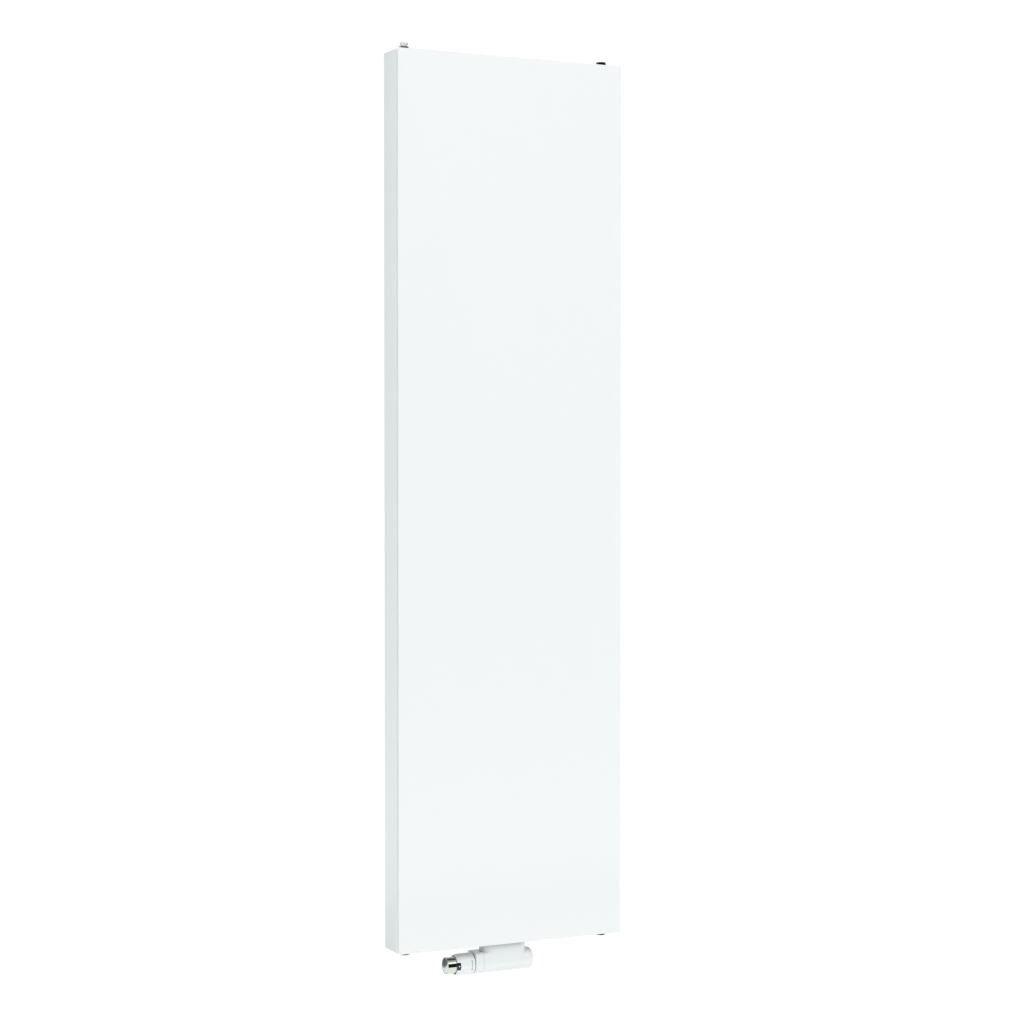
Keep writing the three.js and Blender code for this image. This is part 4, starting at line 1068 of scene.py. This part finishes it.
# Clamp ring: the dark ring seen in the gap between the sleeve and the neck
clamp_low, clamp_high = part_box("clamp_ring")
ring_left, ring_right = SLEEVE_RIGHT + 0.3 * MM, NECK_LEFT - 0.3 * MM
CLAMP_BORE = 6 * MM
CLAMP_INNER = 15.2 * MM
CLAMP_OUTER = 17.4 * MM
CLAMP_FLANGE = 21 * MM
CLAMP_FLOOR = 2 * MM
clamp = turned("clamp_ring_body", "x", VALVE, rounded([
    (CLAMP_BORE, clamp_low.x),
    (CLAMP_OUTER, clamp_low.x),
    (CLAMP_OUTER, ring_left),
    (CLAMP_FLANGE, ring_left),
    (CLAMP_FLANGE, ring_right),
    (CLAMP_OUTER, ring_right),
    (CLAMP_OUTER, clamp_high.x),
    (CLAMP_INNER, clamp_high.x),
    (CLAMP_INNER, clamp_low.x + CLAMP_FLOOR),
    (CLAMP_BORE, clamp_low.x + CLAMP_FLOOR),
], [0.3 * MM] * 10, 3), ring=True)
piece(clamp, dark_grey_plastic, "radiator", "grey_plastic", "clamp_ring")

# Knob: a plated cup with a fine rim, and the dished disc in its end
KNOB_RADIUS = 17 * MM
FLANGE_LEFT = KNOB_RIGHT - 1.8 * MM
FLOOR = KNOB_LEFT + 2.3 * MM
knob_profile = rounded([
    (0, FLOOR),
    (KNOB_RADIUS - 1.2 * MM, FLOOR),
    (KNOB_RADIUS - 1.2 * MM, KNOB_LEFT),
    (KNOB_RADIUS, KNOB_LEFT),
    (KNOB_RADIUS, FLANGE_LEFT),
    (19.3 * MM, FLANGE_LEFT),
    (19.3 * MM, KNOB_RIGHT),
    (14 * MM, KNOB_RIGHT),
    (14 * MM, FLOOR + 3 * MM),
    (0, FLOOR + 3 * MM),
], [0, 0.2 * MM, 0.35 * MM, 0.55 * MM, 0.3 * MM, 0.3 * MM, 0.3 * MM, 0.3 * MM, 1 * MM, 0], 5)
piece(turned("knob_barrel", "x", VALVE, knob_profile, 144), chrome_barrel, "knob", "chrome", "knob")

FACE_RADIUS = KNOB_RADIUS - 1.5 * MM
FACE_BACK = FLOOR - 0.3 * MM
FACE_RECESS = 0.5 * MM
DISH_DEPTH = 1.1 * MM
DISH_STEPS = 16
dish = [(0, FACE_BACK), (FACE_RADIUS, FACE_BACK)]
for k in range(DISH_STEPS + 1):
    share = 1 - k / DISH_STEPS
    dish.append((FACE_RADIUS * share, KNOB_LEFT + FACE_RECESS + DISH_DEPTH * (1 - share * share)))
face = turned("knob_face_disc", "x", VALVE, dish, 144)
piece(face, chrome_face, "knob", "chrome", "knob_face")


# ---- Nuts, connectors and body, seen from behind --------
NUT_FLATS = 27 * MM
NUT_SIDES = 72
NUT_EDGE = 0.12 * MM  # least drop of the chamfer at a flat
TAIL_BORE = 5.5 * MM
TAIL_FLANGE = 12.5 * MM
CONNECTOR_BORE = 7.7 * MM
BRANCH_RADIUS = 10.9 * MM
CASTING_RADIUS = 12.5 * MM


def hex_nut(name, axis, centre, bore, start, end):
    """A hexagon with its corners chamfered round, and a bore through it."""
    apothem = NUT_FLATS / 2
    round_radius = apothem + 0.1 * MM
    rows = [[] for _ in range(6)]
    for k in range(NUT_SIDES):
        angle = 2 * math.pi * k / NUT_SIDES
        fold = (angle % (math.pi / 3)) - math.pi / 6
        radius = apothem / math.cos(fold)
        drop = max(0.0, radius - round_radius) * math.tan(math.radians(30)) + NUT_EDGE
        spots = ((bore, start), (round_radius - 0.3 * MM, start), (radius, start + drop),
                 (radius, end - drop), (round_radius - 0.3 * MM, end), (bore, end))
        turn = angle + math.pi / 6
        for row, (out, along) in zip(rows, spots):
            spoke = from_axis(axis, out * math.cos(turn), out * math.sin(turn), along)
            row.append(Vector(centre) + Vector(spoke))
    return outward(lofted(name, rows, close_rows=True, close_loop=True))


def tail_set(way):
    low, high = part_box(way + "_union_nut")
    x = (low.x + high.x) / 2
    centre = (x, VALVE.y, 0)
    nut = hex_nut(way + "_union_nut_body", "z", centre, 8.3 * MM, low.z, high.z)
    piece(nut, nickel, "radiator", "nickel_plate", way + "_union_nut")

    low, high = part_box(way + "_tail")
    seat = high.z - PLUG_LENGTH
    profile = [
        (TAIL_BORE, low.z),
        (10.4 * MM, low.z),
        (10.5 * MM, low.z + 0.3 * MM),
        (10.5 * MM, low.z + 4.5 * MM),
        (8 * MM, low.z + 5.5 * MM),
        (8 * MM, seat - 3 * MM),
        (TAIL_FLANGE - 0.3 * MM, seat - 3 * MM),
        (TAIL_FLANGE, seat - 2.7 * MM),
        (TAIL_FLANGE, seat - 0.3 * MM),
        (TAIL_FLANGE - 0.3 * MM, seat),
        *threaded(PLUG_SHANK, seat, high.z - 0.6 * MM),
        (PLUG_SHANK - 1 * MM, high.z),
        (TAIL_BORE, high.z),
    ]
    tail = turned(way + "_tail_body", "z", centre, profile, 72, ring=True)
    piece(tail, nickel, "radiator", "nickel_plate", way + "_tail")

    low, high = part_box(way + "_pipe_connector")
    centre = (x, 0, VALVE.z)
    hex_end = low.y + 18 * MM
    nut = hex_nut(way + "_connector_nut", "y", centre, 11.2 * MM, low.y, hex_end)
    piece(nut, nickel, "radiator", "nickel_plate", way + "_pipe_connector")
    collar = turned(way + "_connector_collar", "y", centre, rounded([
        (CONNECTOR_BORE, low.y + 6 * MM),
        (11.1 * MM, low.y + 6 * MM),
        (11.1 * MM, hex_end - 0.5 * MM),
        (10.2 * MM, hex_end + 0.6 * MM),
        (10.2 * MM, high.y),
        (CONNECTOR_BORE, high.y),
    ], [0.2 * MM, 0.2 * MM, 0, 0.3 * MM, 0.6 * MM, 0.5 * MM], 4), ring=True)
    piece(collar, nickel, "radiator", "nickel_plate")


tail_set("supply")
tail_set("return")


def branch(axis, x, thread_start, end):
    """One threaded way out of the valve body, from its middle to end."""
    thread = threaded(BRANCH_RADIUS, thread_start, end - 0.4 * MM)
    profile = [(0, 0), (BRANCH_RADIUS, 0), *thread, (9.8 * MM, end), (0, end)]
    return outward(turned("branch", axis, (x, VALVE.y, VALVE.z), profile, 64))


def valve_body():
    low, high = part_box("valve_body")
    ends = rounded(rod_profile(CASTING_RADIUS, low.x, high.x), [0, MM, 2.5 * MM, 0], 5)
    body = outward(turned("valve_body_casting", "x", VALVE, ends))
    for way in ("supply", "return"):
        x = centre_of(way + "_union_nut").x
        up = branch("z", x, 12.6 * MM, high.z - VALVE.z)
        back = branch("y", x, 20 * MM, high.y - VALVE.y)
        combine(body, [up, back], "UNION")
    piece(body, nickel, "radiator", "nickel_plate", "valve_body")


valve_body()

# ---- Carried-over CAD nodes: hidden or small pieces that keep their solid --------
CARRIED = {
    "bleed_screw": brass,
    "valve_bonnet": brass,
    "shutoff_spindle": brass,
    "valve_spindle": steel,
    "spindle_spring": steel,
    "overrun_spring": steel,
    "sensor_capsule": steel,
    "sensor_carriage": grey_plastic,
    "valve_disc": rubber,
    "supply_tail_gasket": rubber,
    "return_tail_gasket": rubber,
}
for carried_node, carried_material in CARRIED.items():
    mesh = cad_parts[carried_node].data
    mesh.materials.clear()
    mesh.materials.append(carried_material)

# ---- Stage: floor, world and lights --------
FLOOR_Z = -1.2
FLOOR_HALF = 4.0


def stage_plane(name, corners, colour, glow, roughness, see_through=False):
    """A flat piece of the studio; see_through lets the eye pass from its back."""
    plane = build(name, corners, [(0, 1, 2, 3)])
    made = bpy.data.materials.new(name)
    n = Nodes(made)
    uneven = n.noise(n.add("ShaderNodeTexCoord").outputs["Object"], 0.8, 2.0)
    colours = n.mix(uneven, shade(colour, 0.99), shade(colour, 1.01))
    values = {"Base Color": colours, "Roughness": roughness, "Emission Color": (1.0, 1.0, 1.0, 1.0),
              "Emission Strength": glow, "Specular IOR Level": 0.0}
    front = n.add("ShaderNodeBsdfPrincipled", values).outputs[0]
    back = n.add("ShaderNodeBsdfTransparent").outputs[0]
    behind = n.add("ShaderNodeNewGeometry").outputs["Backfacing"]
    sides = n.add("ShaderNodeMixShader", {0: behind, 1: front, 2: back if see_through else front})
    n.add("ShaderNodeOutputMaterial", {"Surface": sides.outputs[0]})
    plane.data.materials.append(made)
    return plane


stage_plane("floor", [(-FLOOR_HALF, -FLOOR_HALF, FLOOR_Z), (FLOOR_HALF, -FLOOR_HALF, FLOOR_Z),
                      (FLOOR_HALF, FLOOR_HALF, FLOOR_Z), (-FLOOR_HALF, FLOOR_HALF, FLOOR_Z)],
            (0.3, 0.3, 0.3), 0.81, 0.9, see_through=True)


def dark_card(name, colour, corners):
    """A dark studio card that only shows in reflections."""
    card = stage_plane(name, corners, colour, 0.0, 0.9)
    card.visible_camera = False
    card.visible_diffuse = False
    card.visible_shadow = False
    card.visible_transmission = False


CARD_Y = -0.36
dark_card("front_card", (0.004, 0.005, 0.005),
          [(-0.6, CARD_Y, -1.04), (0.8, CARD_Y, -1.04), (0.8, CARD_Y, -0.85), (-0.6, CARD_Y, -0.85)])
CARD_Z = FLOOR_Z + 0.005
dark_card("floor_card", (0.16, 0.185, 0.19),
          [(-0.2, 0.3, CARD_Z), (-0.24, 0.85, CARD_Z), (-0.95, 1.15, CARD_Z), (-1.0, 0.35, CARD_Z)])


# Strength of the sky from the front and the left, and its shares by height and behind
SKY_LEVEL = 1.6
SKY_LEFT = 1.45
SKY_BELOW = 0.66
SKY_BELOW_LEFT = 0.92
SKY_LOW = 0.1
SKY_HIGH = 1.4
SKY_TOP = 0.25
SKY_BACK = 0.45


def studio_world():
    """White to the eye, soft light all round, and in reflections a dark horizon under a bright strip."""
    world = bpy.data.worlds.new("studio")
    bpy.context.scene.world = world
    n = Nodes(world)
    split = n.add("ShaderNodeSeparateXYZ", {0: n.add("ShaderNodeTexCoord").outputs["Generated"]})
    x, y, z = split.outputs
    left = n.ramp(x, -0.15, -0.7)
    soft = n.ramp(left, 0.0, 1.0, SKY_LEVEL, SKY_LEFT)
    below = n.math("MULTIPLY", n.ramp(z, -0.02, -0.2), n.ramp(left, 0.0, 1.0, SKY_BELOW, SKY_BELOW_LEFT))
    rising = n.math("MULTIPLY", n.ramp(z, 0.0, 0.1), n.ramp(z, 0.05, 0.5, SKY_LOW, SKY_HIGH))
    soft = n.math("MULTIPLY", soft, n.math("ADD", below, rising))
    soft = n.math("MULTIPLY", soft, n.ramp(z, 0.5, 0.9, 1.0, SKY_TOP))
    behind = n.ramp(y, 0.0, 0.45)
    soft = n.math("MULTIPLY", soft, n.ramp(behind, 0.0, 1.0, 1.0, SKY_BACK))
    cool = n.math("MAXIMUM", behind, n.ramp(z, 0.5, 0.9))
    tint = n.mix(cool, (1.0, 1.0, 1.0, 1.0), (0.75, 1.0, 1.0, 1.0))
    ahead = n.ramp(y, 0.1, -0.3)
    horizon = n.math("MULTIPLY", n.ramp(z, -0.5, -0.4), n.ramp(z, 0.5, 0.42))
    strip = n.math("MULTIPLY", n.ramp(z, 0.46, 0.54), n.ramp(z, 0.74, 0.66))
    dark = n.math("MULTIPLY", horizon, ahead)
    gloss = n.ramp(dark, 0.0, 1.0, 0.8, 0.02)
    gloss = n.math("ADD", gloss, n.math("MULTIPLY", n.math("MULTIPLY", strip, ahead), 1.0))
    path = n.add("ShaderNodeLightPath").outputs
    diffuse = n.add("ShaderNodeBackground", {"Color": tint, "Strength": soft})
    mirror = n.add("ShaderNodeBackground", {"Color": (0.98, 1.0, 0.96, 1.0), "Strength": gloss})
    plain = n.add("ShaderNodeBackground", {"Color": (1.0, 1.0, 1.0, 1.0), "Strength": 1.05})
    seen = {0: path["Is Glossy Ray"], 1: diffuse.outputs[0], 2: mirror.outputs[0]}
    light = n.add("ShaderNodeMixShader", seen)
    seen = {0: path["Is Camera Ray"], 1: light.outputs[0], 2: plain.outputs[0]}
    mixed = n.add("ShaderNodeMixShader", seen)
    n.add("ShaderNodeOutputWorld", {"Surface": mixed.outputs[0]})


studio_world()

front_soft = bpy.data.lights.new("front_soft_box", "AREA")
front_soft.shape = "RECTANGLE"
front_soft.size, front_soft.size_y = 4.0, 4.0
front_soft.energy = 25
front_lamp = bpy.data.objects.new("front_soft_box", front_soft)
front_lamp.location = (1.5, -5.2, 2.2)
front_lamp.rotation_euler = (-front_lamp.location).to_track_quat("-Z", "Y").to_euler()
front_lamp.visible_glossy = False
front_lamp.visible_camera = False
bpy.context.scene.collection.objects.link(front_lamp)
